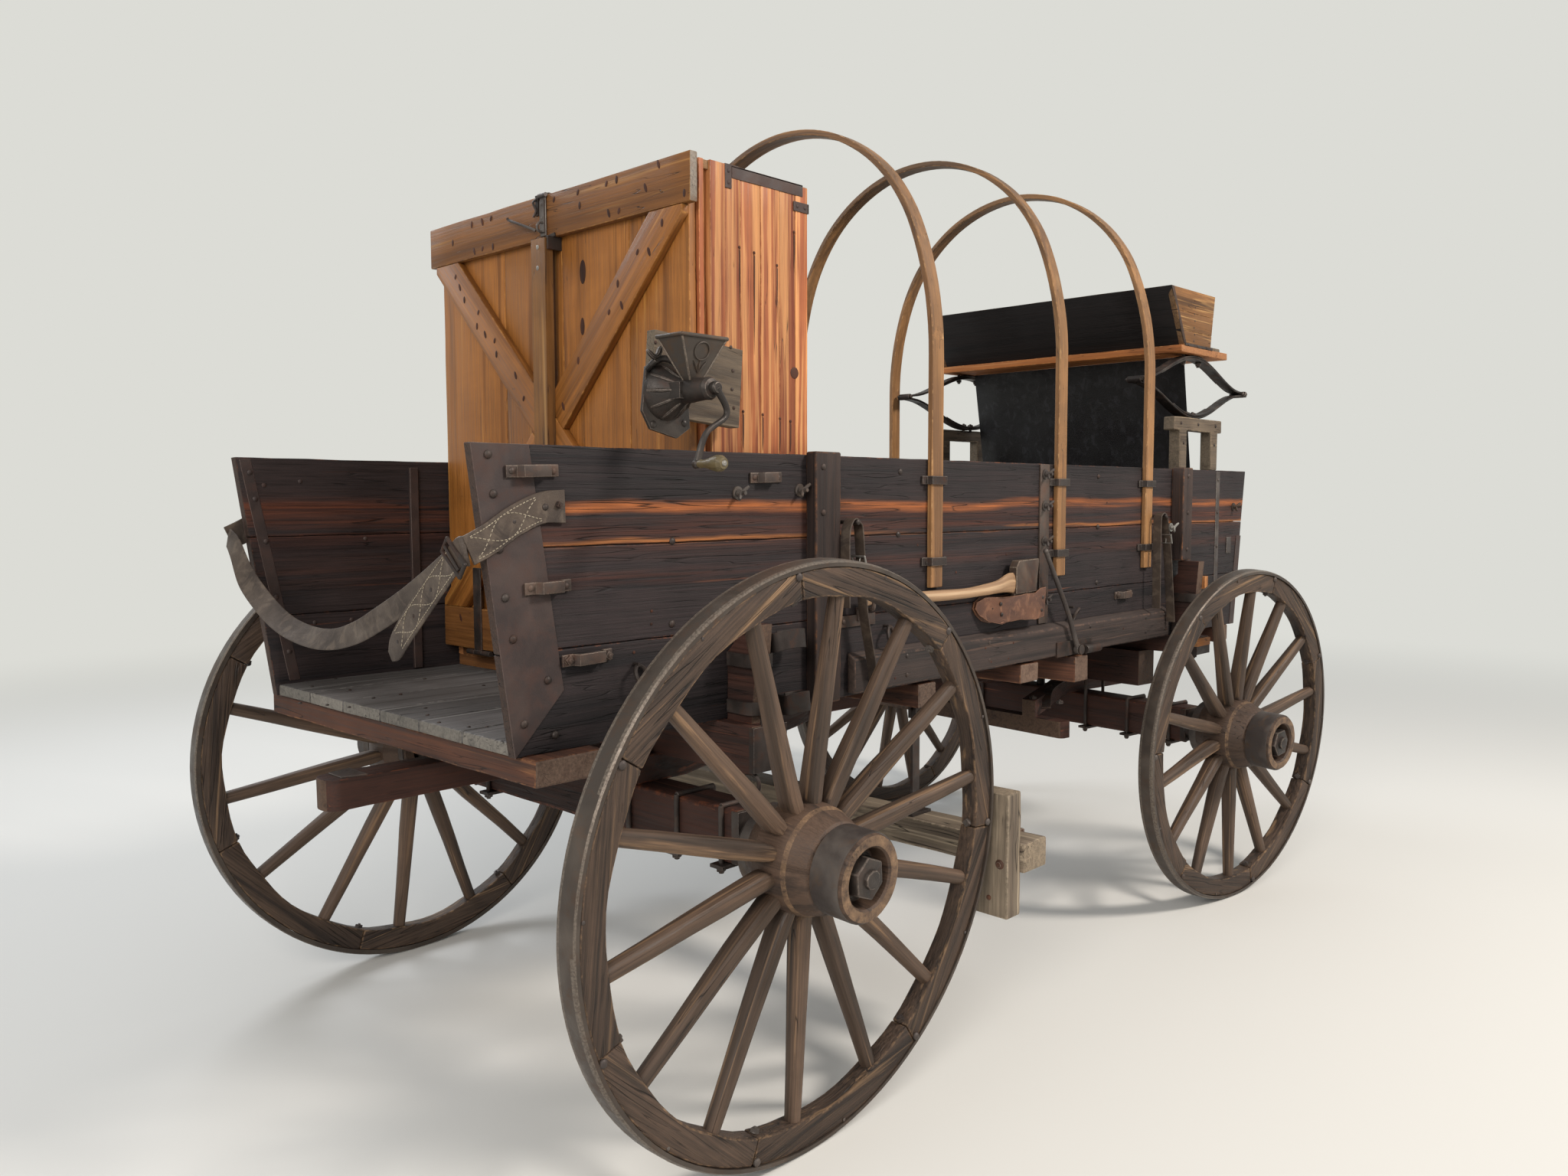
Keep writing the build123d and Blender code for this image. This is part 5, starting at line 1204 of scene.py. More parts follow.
class RunningGear(Assembly):
    """Axles, bolsters, hounds and the reach, with their clips and bolts."""

    worn = (
        Worn("reach", Paint.GEAR, 5, 2, 0), Worn("rear_axle", Paint.GEAR, 6, 2, 1),
        Worn("rear_hounds", Paint.GEAR, 6, 2, 0), Worn("rear_bolster", Paint.GEAR, 5, 2, 1),
        Worn("front_bolster", Paint.GEAR, 4, 0.4, 1), Worn("front_axle", Paint.GEAR, 6, 2, 1, body=Body.GEAR),
        Worn("sand_board", Paint.GEAR, 4, 0.4, 1, body=Body.GEAR),
        Worn("front_hounds", Paint.GEAR, 6, 1.5, 0, body=Body.GEAR), Worn("rear_axle_arms", Paint.CAST, 2, 0.3),
        Worn("front_axle_arms", Paint.CAST, 2, 0.3, body=Body.GEAR), Worn("king_bolt", Paint.IRON, 1, 0.2),
    )

    def clip(self, stock: Stock, x: float, y: float, z: Pair, half: float, turn: Matrix = Matrix()) -> None:
        """Bend a U clip over an axle bed, with its plate and nuts underneath.

        Args:
            stock: takes the clip.
            x: its middle.
            y: its middle.
            z: the bed's lower and upper face.
            half: half its width.
            turn: of the axle.
        """
        low, high = z
        line = [turn @ Vector((x + a * half, y, b))
                for a, b in ((-1, low - 22), (-1, high), (1, high), (1, low - 22))]
        for a, b in zip(line, line[1:]):
            stock.rod(a, b, 6)
        stock.move(turn, stock.box((x - half - 16, x + half + 16), (y - 20, y + 20), (low - 9, low - 1)))
        for end in SIDES:
            stock.nut(turn @ Vector((x + end * half, y, low - 9)), (0, 0, -1), 17, 9)

    def make_rear_irons(self) -> None:
        """Clip the rear axle, strap the hounds and shoe the reach."""
        stock = Stock()
        for _ in stock.both():
            for y, high in ((300, 772), (470, 705), (615, 705)):
                self.clip(stock, -KING_X, y, (580, high), 56)
            stock.box((-KING_X - 50, -KING_X + 50), (640, 662), (583, 697))
            stock.box((-1121, -1017), (640, 656), (770, 870))
            stock.nut((-KING_X + 52, 560, 640), (1, 0, 0), 20, 12)
        for x in (-1400, -900, -600, -200, 300, 700):
            stock.nut((x, 0, 769), (0, 0, 1), 19, 9, spin=x)
            stock.nut((x, 0, 699), (0, 0, -1), 17, 9, spin=x)
        for x, reach in ((-420, 150), (-620, 215)):
            for _ in stock.both():
                stock.box((x - 18, x + 18), (38, reach), (767, 772))
        stock.slab(((-1745, -30), (-1690, -42), (-1690, 42), (-1745, 30)), 2, 767, 4)
        stock.hoop((-1110, -628, 742), (1, 0.3, 0), 26, 5)
        stock.soften(*FORGED)
        stock.finish("rear_gear_irons", Paint.IRON)

    def make_stake_irons(self) -> None:
        """Fit the loops, hooks and rub irons of the four stakes."""
        stock, blocks = Stock(), Stock()
        for _ in stock.both():
            for x in (-1069.5, KING_X):
                for z in (905, 1010):
                    y = 622 + (z - 872) * 19 / 218
                    line = [(x - 27, 548, z), (x - 27, y, z), (x + 27, y, z), (x + 27, 548, z)]
                    stock.ribbon(curve_through(line, 5), (0, 0, 1), 30, 4)
                    stock.nut((x, y + 2, z), (0, 1, 0), 17, 9, spin=z)
        for x, y, z, wide, tall in ((-950, -603, 1042, 52, 44), (-918, -600, 893, 38, 46)):
            line = [(x + a * wide, y + b, z + c) for a, b, c in (
                (-1, 46, 0), (-1, 4, -2), (-0.5, -6, 3), (0.5, -8, 4), (1, 6, 0), (0.9, 40, -4), (0.2, 50, -6))]
            stock.ribbon(curve_through(line, 6), (0, 0.12, 1), tall, 4.5)
        stock.bar(curve_through([(-1090, -647, 947), (-1080, -662, 935), (-1071, -660, 915), (-1083, -650, 895),
                                 (-1088, -648, 856)], 6), 6)
        stock.ribbon([(-1010, -560, 1000), (-1010, -566, 930), (-1004, -570, 880), (-1004, -572, 845)],
                     (1, 0, 0), 26, 5)
        for z in (980, 900):
            stock.nut((-1008, -568, z), (0, -1, 0), 16, 8)
        stock.soften(0.6, 1, 50)
        stock.finish("stake_irons", Paint.IRON)
        for _ in blocks.both():
            blocks.box((KING_X + 22, KING_X + 48), (610, 644), (1040, 1085))
            blocks.box((KING_X - 53, KING_X + 53), (600, 656), (841, 868))
            blocks.nut((KING_X + 48, 627, 1062), (1, 0, 0), 12, 6)
        blocks.soften(3)
        blocks.finish("front_stake_blocks", Paint.RAW)

    def make_front_irons(self) -> None:
        """Add the bolster's plates and bolts over the front gear."""
        stock = Stock()
        for _ in stock.both():
            stock.box((KING_X - 52, KING_X + 52), (618, 655), (812, 842))
            stock.nut((KING_X - 30, 635, 812), (0, 0, -1), 18, 10)
            stock.rod((KING_X + 66, 560, 800), (KING_X + 66, 560, 884), 7)
            stock.nut((KING_X + 66, 560, 884), (0, 0, 1), 18, 10)
        stock.soften(*FORGED)
        stock.finish("front_bolster_irons", Paint.IRON)

    def make_moving_irons(self) -> None:
        """Clip the front axle and bolt the hounds; these turn with the gear."""
        stock, turn = Stock(), steered()
        for side in SIDES:
            for y, high in ((250, 692), (430, 637), (600, 637)):
                self.clip(stock, KING_X, side * y, (512, high), 54, turn)
            stock.move(turn, stock.box((KING_X - 48, KING_X + 48), (side * 640, side * 660), (516, 628)))
            for x, y in ((-560, 400), (-560, 510), (-330, 300), (150, 170), (250, 170)):
                stock.nut(turn @ Vector((KING_X + x, side * y, 688)), (0, 0, 1), 18, 9, spin=KING_X + x)
            line = [(KING_X - 540, side * 440, 660), (KING_X - 380, side * 330, 692),
                    (KING_X - 120, side * 205, 692)]
            stock.ribbon([turn @ p for p in curve_through(line, 6)], (0, 1, 0), 30, 5)
        stock.soften(*FORGED)
        stock.finish("front_gear_irons", Paint.IRON, body=Body.GEAR)


class WagonBox(Assembly):
    """Sills, floor, the flaring sides and their irons."""

    worn = (
        Worn("cross_sills", Paint.SILL, 5, 2, 1), Worn("floor_boards", Paint.FLOOR, 4, 2.4, 0, 60),
        Worn("right_side", Paint.SIDE, 2.5, 1.6, 0, 45), Worn("left_side", Paint.LEFT, 2.5, 1.6, 0, 45),
        Worn("headboard", Paint.SIDE, 3, 1, 1), Worn("side_cleats", Paint.CLEAT, 4, 1.5, 2, 70),
        Worn("outer_boards", Paint.OUTER, 4, 2, 0, 80), Worn("corner_plates", Paint.PLATE, 0.8, 0),
        Worn("bow_staples", Paint.IRON, 1.4, 0.5),
        Worn("bows", Paint.BOW, 2, 0.8, along=Along.ARCH, segments=1),
    )
    # columns: middle x, middle z, length, how far its foot stands off, whether nuts hold it
    keepers = ((-1598, 1416, 116, 6.5, False), (-1567, 1195, 105, 6.5, False), (-1477, 1050, 120, 6.5, True),
               (-968, 1411, 100, 3, False), (735, 1041, 110, 3, True))
    # columns: x, z
    plate_rivets = (
        (-1691, 1445), (-1681, 1373), (-1670, 1271), (-1645, 1101), (-1624, 937), (-1569, 1015), (-1554, 906),
        (-1660, 1180))
    board_bolts = (
        (-1248, 1274), (-1251, 1099), (-471, 1432), (-479, 1270), (-1250, 930), (560, 1432), (562, 1270),
        (560, 1090), (-480, 1095))
    rear_cleat_bolts = ((-804, 1438), (-804, 1330), (-804, 1170), (-804, 1030), (-804, 905))
    front_cleat_bolts = ((1123, 1440), (1123, 1310), (1123, 1180), (1123, 1010))
    # columns: x, z, y of the face, how far the bolt stands out
    wing_nuts = ((-1056, 1376, 541, 27), (-854, 1383, 541, 27), (1617, 1328, 541, 34), (226, 1435, 547, 27),
                 (226, 1340, 547, 27), (226, 1234, 547, 27), (226, 1057, 547, 27))
    # columns: x, z
    holes = ((-1306, 1130), (-1307, 1103), (-1354, 1048), (620, 1348), (-220, 1160), (-395, 1240), (30, 1200))
    outer_holes = (
        (-110, 941), (33, 943), (-81, 899), (7, 900), (-520, 935), (-520, 902), (420, 905), (1010, 950), (1010, 905),
        (700, 930))
    inner_rivets = ((-1694, 1430), (-1683, 1365), (-1660, 1260), (-1640, 1120), (-1612, 980))
    inner_bolts = ((-1660, 1399), (-1569, 1409), (-1445, 1048), (-1543, 1048), (-1400, 1260))
    strips_x = (1228, 1472)
    # columns: x, y
    floor_nails = (
        (-1723, 208), (-1692, 139), (-1671, 75), (-1576, 149), (-1507, 150), (-1344, 328), (-1626, -233),
        (-1610, -322), (-1584, -349), (-1502, 499), (-1600, 420), (-1560, 300), (-1560, -60), (-1600, -140),
        (-1480, -420), (-1300, -80), (-1300, 120), (-1400, -300))

    def make_keepers(self) -> None:
        """Bend the arched keepers and the strap irons of both sides."""
        stock = Stock()
        for _ in stock.both():
            for x, z, length, off, nuts in self.keepers:
                foot, half = BOX_HALF_Y + off, length / 2
                line = ((-half, foot), (25 - half, foot), (30 - half, foot + 17), (half - 28, foot + 17),
                        (half - 24, foot), (half, foot))
                stock.ribbon([(x + a, b, z + a * 0.03) for a, b in line], (0, 0, 1), 24, 5)
                for end in SIDES:
                    at = (x + end * (half - 12), foot + 2, z)
                    if nuts:
                        stock.nut(at, (0, 1, 0), 15, 8, spin=10 * end)
                    else:
                        stock.dome(at, (0, 1, 0), 7, 4.5)
            stock.box((203, 254), (541, 547), (984, 1464))
            stock.box((-738, -577), (541, 547), (1046, 1074))
            stock.wall_studs(((-700, 1060), (-610, 1060)), 547, 7, 4)
        stock.bar(curve_through([(-644, -547, 1090), (-644, -566, 1088), (-644, -592, 1090), (-644, -597, 1104),
                                 (-644, -596, 1130)], 5), 5.5)
        stock.bar([(-644, -547, 1058), (-644, -545, 1092)], 6)
        stock.soften(0.9, 2, 30)
        stock.finish("side_keepers", Paint.KEEPER, "side_irons")

    def make_bolts(self) -> None:
        """Drive the rivets and bolts, hang the rings and wing nuts, and mark the empty nail holes."""
        stock, bright, strips, holes = Stock(), Stock(), Stock(), Stock()
        for _ in stock.both():
            stock.wall_studs(self.plate_rivets, 544, 8.5, 6)
            stock.wall_studs(self.board_bolts, 541.5, 8, 5)
            stock.wall_studs(self.rear_cleat_bolts, 573, 8, 5)
            stock.wall_studs(self.front_cleat_bolts, 586, 8, 5)
            for x, z, turned in ((-1354, 1000, 0.5), (-535, 1013, 0.2), (390, 998, -0.6)):
                stock.rod((x, 541, z + 24), (x, 558, z + 24), 4)
                stock.hoop((x + 6, 560, z), (0.4, 1, turned), 23, 4.6)
            stock.wall_studs([(x, z) for x in (-470, -90, 480, 860, 1000) for z in (905, 955)], 567, 6, 3)
        for _ in bright.both():
            for x, z, face, reach in self.wing_nuts:
                bright.wing((x, face, z), (0, 1, 0), reach)
            bright.wall_studs([(x, z) for x in self.strips_x for z in (1430, 1308, 1180, 1040)], 543.5, 6.5, 4)
        for _ in strips.both():
            for x in self.strips_x:
                strips.box((x - 15, x + 15), (540.5, 543), (1040, 1460))
            strips.box((1560, 1600), (541, 544.5), (1150, 1212))
        strips.soften(0.8, 1)
        for _ in holes.both():
            holes.wall_studs(self.holes, 541.8, 3.4, 0.8)
            holes.wall_studs(self.outer_holes, 567.6, 3.4, 0.8)
        stock.finish("side_bolts", Paint.IRON)
        bright.finish("side_wing_nuts", Paint.STRIP)
        strips.finish("front_strips", Paint.STRIP)
        holes.finish("side_nail_holes", Paint.STAIN)

    def make_inside_irons(self) -> None:
        """Strap the insides of the sides, tongue their boards and nail the floor."""
        stock, tongues, nails = Stock(), Stock(), Stock()
        for _ in stock.both():
            stock.slab(((-1718, 1462), (-1690, 1462), (-1585, 905), (-1613, 905)), 1, 517.5, 2)
            stock.box((-1272, -1248), (509, 519), (902, 1449))
            stock.wall_studs(self.inner_rivets, 517.5, 7, 4, -1)
            stock.wall_studs(self.inner_bolts, 519, 6, 3, -1)
        stock.soften(1, 1, 40)
        stock.finish("inside_irons", Paint.PLATE)
        for _ in tongues.both():
            for z in (1072, 1271):
                tongues.box((-1648, 1640), (526, 534), (z - 7, z + 7))
        tongues.finish("side_board_tongues", Paint.CLEAT)
        nails.studs([(x, y, 899.6) for x, y in self.floor_nails], (0, 0, 1), 4.5, 2)
        nails.finish("floor_nails", Paint.IRON)


class ChuckBox(Assembly):
    """The cupboard over the tail: beaded sides, shelves, a braced lid and its leg."""

    worn = (
        Worn("box_hinges", Paint.IRON, 1, 0.2), Worn("lid_hinges", Paint.IRON, 1, 0.2, body=Body.LID),
        Worn("leg_hinge", Paint.IRON, 0.8, 0.2, body=Body.LID),
        Worn("table_leg", Paint.LEG, 5, 1, 2, body=Body.LEG),
    )
    rear, front = -1136, -788.0
    half, inner = 508, 488.0    # outside and inside of the cupboard's sides
    low, high = 929, 2095.0
    side_seams = (-1058, -1010, -946, -884, -830, -788)
    back_seams = (-488, -300, -100, 110, 300, 488)
    lid_seams = (-505, -300, -45, 205, 505)
    shelves = (1240, 1420, 1640, 1850)
    # columns: lower end, upper end, y
    dividers = ((949, 1233, 0), (1427, 1633, -170), (1427, 1633, 170), (1647, 1843, -170), (1647, 1843, 170))
    # columns: x, upper and lower end of a rust run under a nail
    rust_runs = (
        (-1014, 1923, 1760), (-967, 1918, 1690), (-893, 1900, 1770), (-1004, 1560, 1474), (-941, 1556, 1474),
        (-884, 1550, 1474), (-848, 1545, 1474), (-835, 1985, 1890), (-905, 1400, 1250), (-1020, 1300, 1180))
    # columns: y, z
    rail_nails = (
        (-248, 2078), (-285, 2080), (-386, 2044), (-140, 2078), (-146, 2047), (-255, 2011), (-292, 2010),
        (321, 2078), (271, 2077), (230, 2079), (416, 2045), (311, 2008), (272, 2009), (223, 2007), (-431, 2085),
        (-45, 2078), (-514, 2010), (420, 1040), (250, 1000), (60, 1044), (-120, 1000), (-300, 1040), (-440, 1005))
    brace_nails = (
        (407, 1955), (366, 1890), (387, 1925), (299, 1850), (307, 1815), (269, 1790), (225, 1770), (218, 1735),
        (133, 1675), (99, 1615), (-440, 1960), (-395, 1905), (-355, 1910), (-284, 1850), (-297, 1800), (-251, 1790),
        (-131, 1690), (-68, 1586), (-280, 1260), (-180, 1330), (290, 1245), (160, 1370))
    # columns: y, z, radius
    knots = ((-126, 1900, 15), (-122, 1773, 11), (-390, 1420, 12), (120, 1250, 14))
    # columns: span along x, along y and along z of each strip
    corner_irons = (
        ((-1036, -806), (486, 509.6), (2093, 2097)), ((-1036, -806), (506, 509.6), (2070, 2096.5)),
        ((-1058, -1038), (508, 510.6), (2046, 2096)), ((-1058, -1015), (478, 510.6), (2095, 2098)),
        ((-838, -786), (508, 510.4), (2034, 2056)), ((-790, -785.6), (464, 510.4), (2034, 2056)))
    # corners of the lid's crossed braces, y and z: the through one, then the two halves of the other
    braces = (
        ((-505, 1070.5), (-394.5, 1070.5), (505, 1973), (505, 1991.5), (394.5, 1991.5), (-505, 1089)),
        ((-505, 1973), (-505, 1991.5), (-394.5, 1991.5), (-1, 1597.3), (-66, 1532)),
        ((505, 1089), (505, 1070.5), (394.5, 1070.5), (1, 1464.7), (66, 1530)))

    def make_sides(self) -> None:
        """Nail up the upright boards of both sides, with the batten at their rear edge."""
        stock = Stock()
        for _ in stock.both():
            for index, (a, b) in enumerate(zip(self.side_seams, self.side_seams[1:])):
                face = self.half - (0.6 if index % 2 else 0)
                stock.box((a + 0.6, b - 0.6), (488, face), (self.low, self.high - 0.5 * index))
            for x, y, top in (((-1106, -1061), (486, 513), 1), ((-1136, -1122), (488, 510), 0),
                              ((-1123, -1105), (488, 497), -2)):
                stock.box(x, y, (self.low, self.high + top))
        stock.wear(1.6, 0.7, 2, 60)
        stock.finish("chuck_side_boards", Paint.CHUCK, "chuck_box")

    def make_carcass(self) -> None:
        """Fit the back, top, bottom, shelves, dividers and runners."""
        stock = Stock()
        back, wide = self.front - 14, (-self.inner, self.inner)
        for a, b in zip(self.back_seams, self.back_seams[1:]):
            stock.box((back, self.front), (a + 0.8, b - 0.8), (self.low, self.high - 21))
        for x in ((self.rear, -1010), (-1008, -900), (-898, self.front)):
            stock.box(x, (-self.inner - 19, self.inner + 19), (self.high - 20, self.high - 0.5))
        stock.box((self.rear, back), wide, (self.low, self.low + 20))
        for z in self.shelves:
            for x in ((self.rear + 1, -970), (-969, back)):
                stock.box(x, wide, (z - 7, z + 7))
        for low, high, y in self.dividers:
            stock.box((self.rear + 2, back), (y - 7, y + 7), (low, high))
        for x in (self.rear + 30, self.front - 30):
            stock.box((x - 30, x + 30), (-self.half, self.half), (899.5, self.low))
        stock.soften(1.6)
        stock.finish("chuck_carcass", Paint.INSIDE)

    def make_trim(self) -> None:
        """Fold the dark strip along the top edge, screw the corner irons on and run the rust down."""
        stock, marks = Stock(), Stock()
        for _ in stock.both():
            for x, y, z in self.corner_irons:
                stock.box(x, y, z)
            stock.wall_studs(((-1048, 2083), (-1048, 2058)), 510.4, 4.5, 2.4)
            stock.wall_studs(((-826, 2045), (-800, 2045)), 510.2, 4.5, 2.4)
        stock.soften(0.7, 1, 50)
        stock.finish("chuck_corner_irons", Paint.PLATE)
        for _ in marks.both():
            for x, top, low in self.rust_runs:
                marks.slab(((x - 1.6, top), (x + 2.6, top - 8), (x + 2.4, top - 50), (x + 0.3, low),
                            (x - 1.4, top - 70)), 1, 508.1, 0.35)
                marks.dome((x, 508.1, top), (0, 1, 0), 3.6, 2.2)
            marks.dome((-834, 508.1, 1659), (0, 1, 0), 14, 1)
        marks.finish("chuck_side_rust", Paint.STAIN)

    def make_lid(self) -> None:
        """Lay the lid's four boards, its rails and its crossed braces, each a timber of its own."""
        boards, rails, braces = Stock(), Stock(), Stock()
        for a, b in zip(self.lid_seams, self.lid_seams[1:]):
            boards.box((-1160, -1141), (a + 1, b - 1), (960, 2096))
        boards.wear(2.2, 0.9, 2, 60)
        boards.finish("lid_boards_planed", Paint.LID, "lid_boards", body=Body.LID)
        rails.box((-1181, -1160), (-533, 533), (1992, 2096))
        rails.box((-1181, -1160), (-505, 505), (960, 1070))
        rails.wear(2.6, 1.2, 1, 70)
        rails.finish("lid_rails", Paint.RAIL, "lid_braces", body=Body.LID)
        for outline in self.braces:
            braces.slab(outline, 0, -1180.5, 20.5)
        braces.wear(3, 0.8)
        braces.finish("lid_brace_timbers", Paint.LID, body=Body.LID)

    def make_marks(self) -> None:
        """Stain the nail holes, set the knots and screw the leg on."""
        stock, screws = Stock(), Stock()
        spots = []
        for places, x in ((self.rail_nails, -1181.2), (self.brace_nails, -1180.8)):
            for index, (y, z) in enumerate(places):
                slant = Matrix.Rotation(0.4 * (index % 3 - 1), 4, "Z")
                shape = slant @ Matrix.Diagonal((1, 1.5 + 0.4 * (index % 3), 0.16, 1))
                spots.append(((x, y, z), 10, 5, shape))
        for y, z, size in self.knots:
            spots.append(((-1160.2, y, z), 16, size, Matrix.Diagonal((0.8, 1.9, 0.06, 1))))
        for at, segments, radius, shape in spots:
            bmesh.ops.create_uvsphere(stock.bm, u_segments=segments, v_segments=6, radius=radius,
                                      matrix=aim(at, (-1, 0, 0)) @ shape)
        stock.finish("lid_nail_stains", Paint.STAIN, body=Body.LID)
        screws.studs([(-1204.6, -8, 1968), (-1204.6, -7, 1919)], (-1, 0, 0), 6, 2.5)
        screws.finish("leg_screws", Paint.STEEL, body=Body.LEG)

    def make_hasp(self) -> None:
        """Hinge the hasp strap over the top edge and hang its pin."""
        stock, dark = Stock(), Stock()
        line = [(-1141, -4, 2099), (-1174, -4, 2100), (-1183, -4, 2098), (-1184, -4, 2088), (-1184, -4, 1998)]
        stock.ribbon(line, (0, 1, 0), 24, 3.6)
        stock.rod((-1186, -19, 2094), (-1186, 11, 2094), 5.5)
        stock.box((-1189, -1184), (-13, 5), (2006, 2082))
        stock.hoop((-1192, -5, 2018), (0, 1, 0.2), 11, 3.2)
        stock.bar(curve_through([(-1190, 20, 2014), (-1193, 27, 2018), (-1196, 75, 2036), (-1194, 127, 2055),
                                 (-1196, 133, 2061)], 6), 3.4)
        stock.studs([(-1189, -4, 2072), (-1189, -4, 2040)], (-1, 0, 0), 4, 2)
        stock.soften(0.5, 1, 50)
        stock.finish("hasp_strap", Paint.STRIP, "lid_hasp", body=Body.LID)
        dark.box((-1186, -1181), (14, 26), (2050, 2098))
        dark.bar(curve_through([(-1186, 20, 2090), (-1192, 26, 2080), (-1188, 20, 2062), (-1193, 24, 2046)], 5), 3)
        dark.ribbon([(-1183, 38, 1990), (-1190, 10, 1986), (-1190, -20, 1989), (-1183, -50, 1996)], (0, 0, 1), 9, 4)
        dark.finish("hasp_keeper", Paint.IRON, body=Body.LID)


class Mill(Assembly):
    """The cast coffee mill on its board: clamp, ribbed body, hopper and crank."""

    worn = (Worn("mill_board", Paint.OLD, 2.5, 1, 0, 50),)
    x, z = -1290, 1580.0    # the shaft, which looks to the right
    # the hopper: its middle, its foot and its mouth, and half of the mouth's size
    hopper_y, foot, mouth = -657, 1598, 1682.0
    mouth_x, mouth_y = 60, 37

    def make_nails(self) -> None:
        """Nail the mounting board."""
        stock = Stock()
        stock.wall_studs(((-1090, 1560), (-1092, 1640), (-1098, 1690), (-1095, 1600), (-1300, 1560),
                          (-1310, 1680)), -567.5, 4, 2, -1)
        stock.finish("mill_board_nails", Paint.IRON)

    def make_body(self) -> None:
        """Cast the ribbed cone, the barrel and the clamp behind it."""
        x, z = self.x, self.z
        stock = Stock()
        stock.lathe(((0.5, 0), (54, 0), (58, 6), (57, 16), (50, 28), (38, 44), (29, 58), (25, 68), (26, 84),
                     (24, 100), (22, 128), (23, 140), (19, 148), (10, 151), (0.5, 151)), 32,
                    aim((x, -567, z), (0, -1, 0)))
        for c, s in circle(10):
            stock.bar([(x + c * r, -567 - d, z + s * r) for d, r in ((14, 55), (30, 47), (46, 36), (62, 26))],
                      (3.5, 5, 4.5, 2.5), 8)
        stock.bar(curve_through([(x - 34, -572, z + 54), (x - 20, -590, z + 66), (x - 2, -606, z + 58),
                                 (x + 8, -630, z + 34)], 6), 7)
        stock.slab(((x - 62, z - 40), (x - 40, z - 76), (x + 30, z - 92), (x + 66, z - 70), (x + 60, z + 10),
                    (x + 20, z + 60), (x - 50, z + 50)), 1, -566.5, -8)
        stock.bar([(x - 48, -574, z + 44), (x - 50, -590, z + 52), (x - 46, -600, z + 60)], 6)
        stock.bar(curve_through([(x - 68, -598, z + 78), (x - 52, -600, z + 66), (x - 40, -598, z + 70),
                                 (x - 30, -596, z + 88)], 5), (3, 5, *[6] * 12, 5, 3), 8)
        stock.wall_studs(((x + 50, z - 60), (x - 34, z - 66)), -574, 8, 5, -1)
        stock.box((x - 30, x + 34), (-652, -571), (z - 18, z + 16))
        stock.soften(1.2, 2, 40)
        stock.wobble(0.6, 20)
        stock.finish("mill_casting", Paint.CAST, "mill_body")

    def on_hopper(self, across: float, height: float) -> Vector:
        """Give a place on the hopper's outer face, by its distances from the shaft."""
        depth = 10 + (37 - 10) * (self.z + height - self.foot) / (self.mouth - self.foot)
        return Vector((self.x + across, self.hopper_y - depth - 1.2, self.z + height))

    def make_hopper(self) -> None:
        """Fold the tapered hopper, with its rim, corner beads and a plain ring and leaf relief."""
        x, y, foot, mouth = self.x, self.hopper_y, self.foot, self.mouth
        stock = Stock()
        shape = Matrix.Diagonal((1, 0.62, 1, 1)) @ Matrix.Rotation(pi / 4, 4, "Z")
        out = bmesh.ops.create_cone(stock.bm, cap_ends=False, segments=4, radius1=16 * sqrt(2),
                                    radius2=self.mouth_x * sqrt(2), depth=mouth - foot,
                                    matrix=Matrix.Translation((x, y, (foot + mouth) / 2)) @ shape)["verts"]
        bmesh.ops.solidify(stock.bm, geom=list({f for v in out for f in v.link_faces}), thickness=3)
        corners = [Vector((a * self.mouth_x, b * self.mouth_y, 0))
                   for a, b in ((-1, -1), (1, -1), (1, 1), (-1, 1), (-1, -1))]
        for a, b in zip(corners, corners[1:]):
            top = Vector((x, y, mouth))
            stock.rod(top + a, top + b, 4.2, sides=10)
            stock.dome(top + a, (0, 0, 1), 4.2, 4.2)
            stock.rod(Vector((x, y, foot)) + a * 16 / 60, top + a, 2.4, sides=8)
        stock.soften(0.8, 1, 40)
        stock.bar([self.on_hopper(19 * cos(t), 74 + 17 * sin(t)) for t in np.linspace(0, 2 * pi, 29)],
                  1.7, 8)
        for lean in (-1, 0, 1):
            stock.bar([self.on_hopper(lean * t * 17, 30 + 25 * t ** 0.8) for t in np.linspace(0.05, 1, 7)],
                      (0.8, 1.6, 2.2, 2.4, 2, 1.4, 0.8), 8)
        stock.finish("mill_hopper", Paint.HOPPER)

    def make_crank(self) -> None:
        """Bend the crank and turn its pear-shaped handle."""
        x, z = self.x, self.z
        stock, knob, cap = Stock(), Stock(), Stock()
        line = curve_through([(x, -727, z), (x + 26, -728, z - 50), (-1320, -729, 1490), (-1346, -729, 1430)], 10)
        stock.bar(line, [7.5 - 1.5 * sin(pi * k / (len(line) - 1)) for k in range(len(line))], 12)
        stock.lathe(((0.5, 0), (12, 0), (13, 3), (13, 12), (10, 16), (0.5, 16)), 20, aim((x, -716.8, z), (0, -1, 0)))
        stock.lathe(((0.5, 0), (9, 0), (9, 8), (6, 12), (0.5, 12)), 16, aim((-1346, -724, 1430), (0, -1, 0)))
        stock.soften(*FORGED)
        stock.finish("mill_crank_bent", Paint.CAST, "mill_crank", body=Body.CRANK)
        knob.lathe(((0.5, 0), (7, 0), (8.5, 6), (7.5, 14), (9, 24), (13, 38), (16, 52), (15.5, 62), (11, 70),
                    (0.5, 71.5)), 24, aim((-1346, -736, 1430), (0, -1, 0)))
        knob.finish("mill_knob", Paint.KNOB, body=Body.CRANK)
        cap.lathe(((0.5, 0), (6, 0), (5, 2.4), (0.5, 3)), 14, aim((-1346, -806.5, 1430), (0, -1, 0)))
        cap.finish("mill_knob_rivet", Paint.STEEL, body=Body.CRANK)


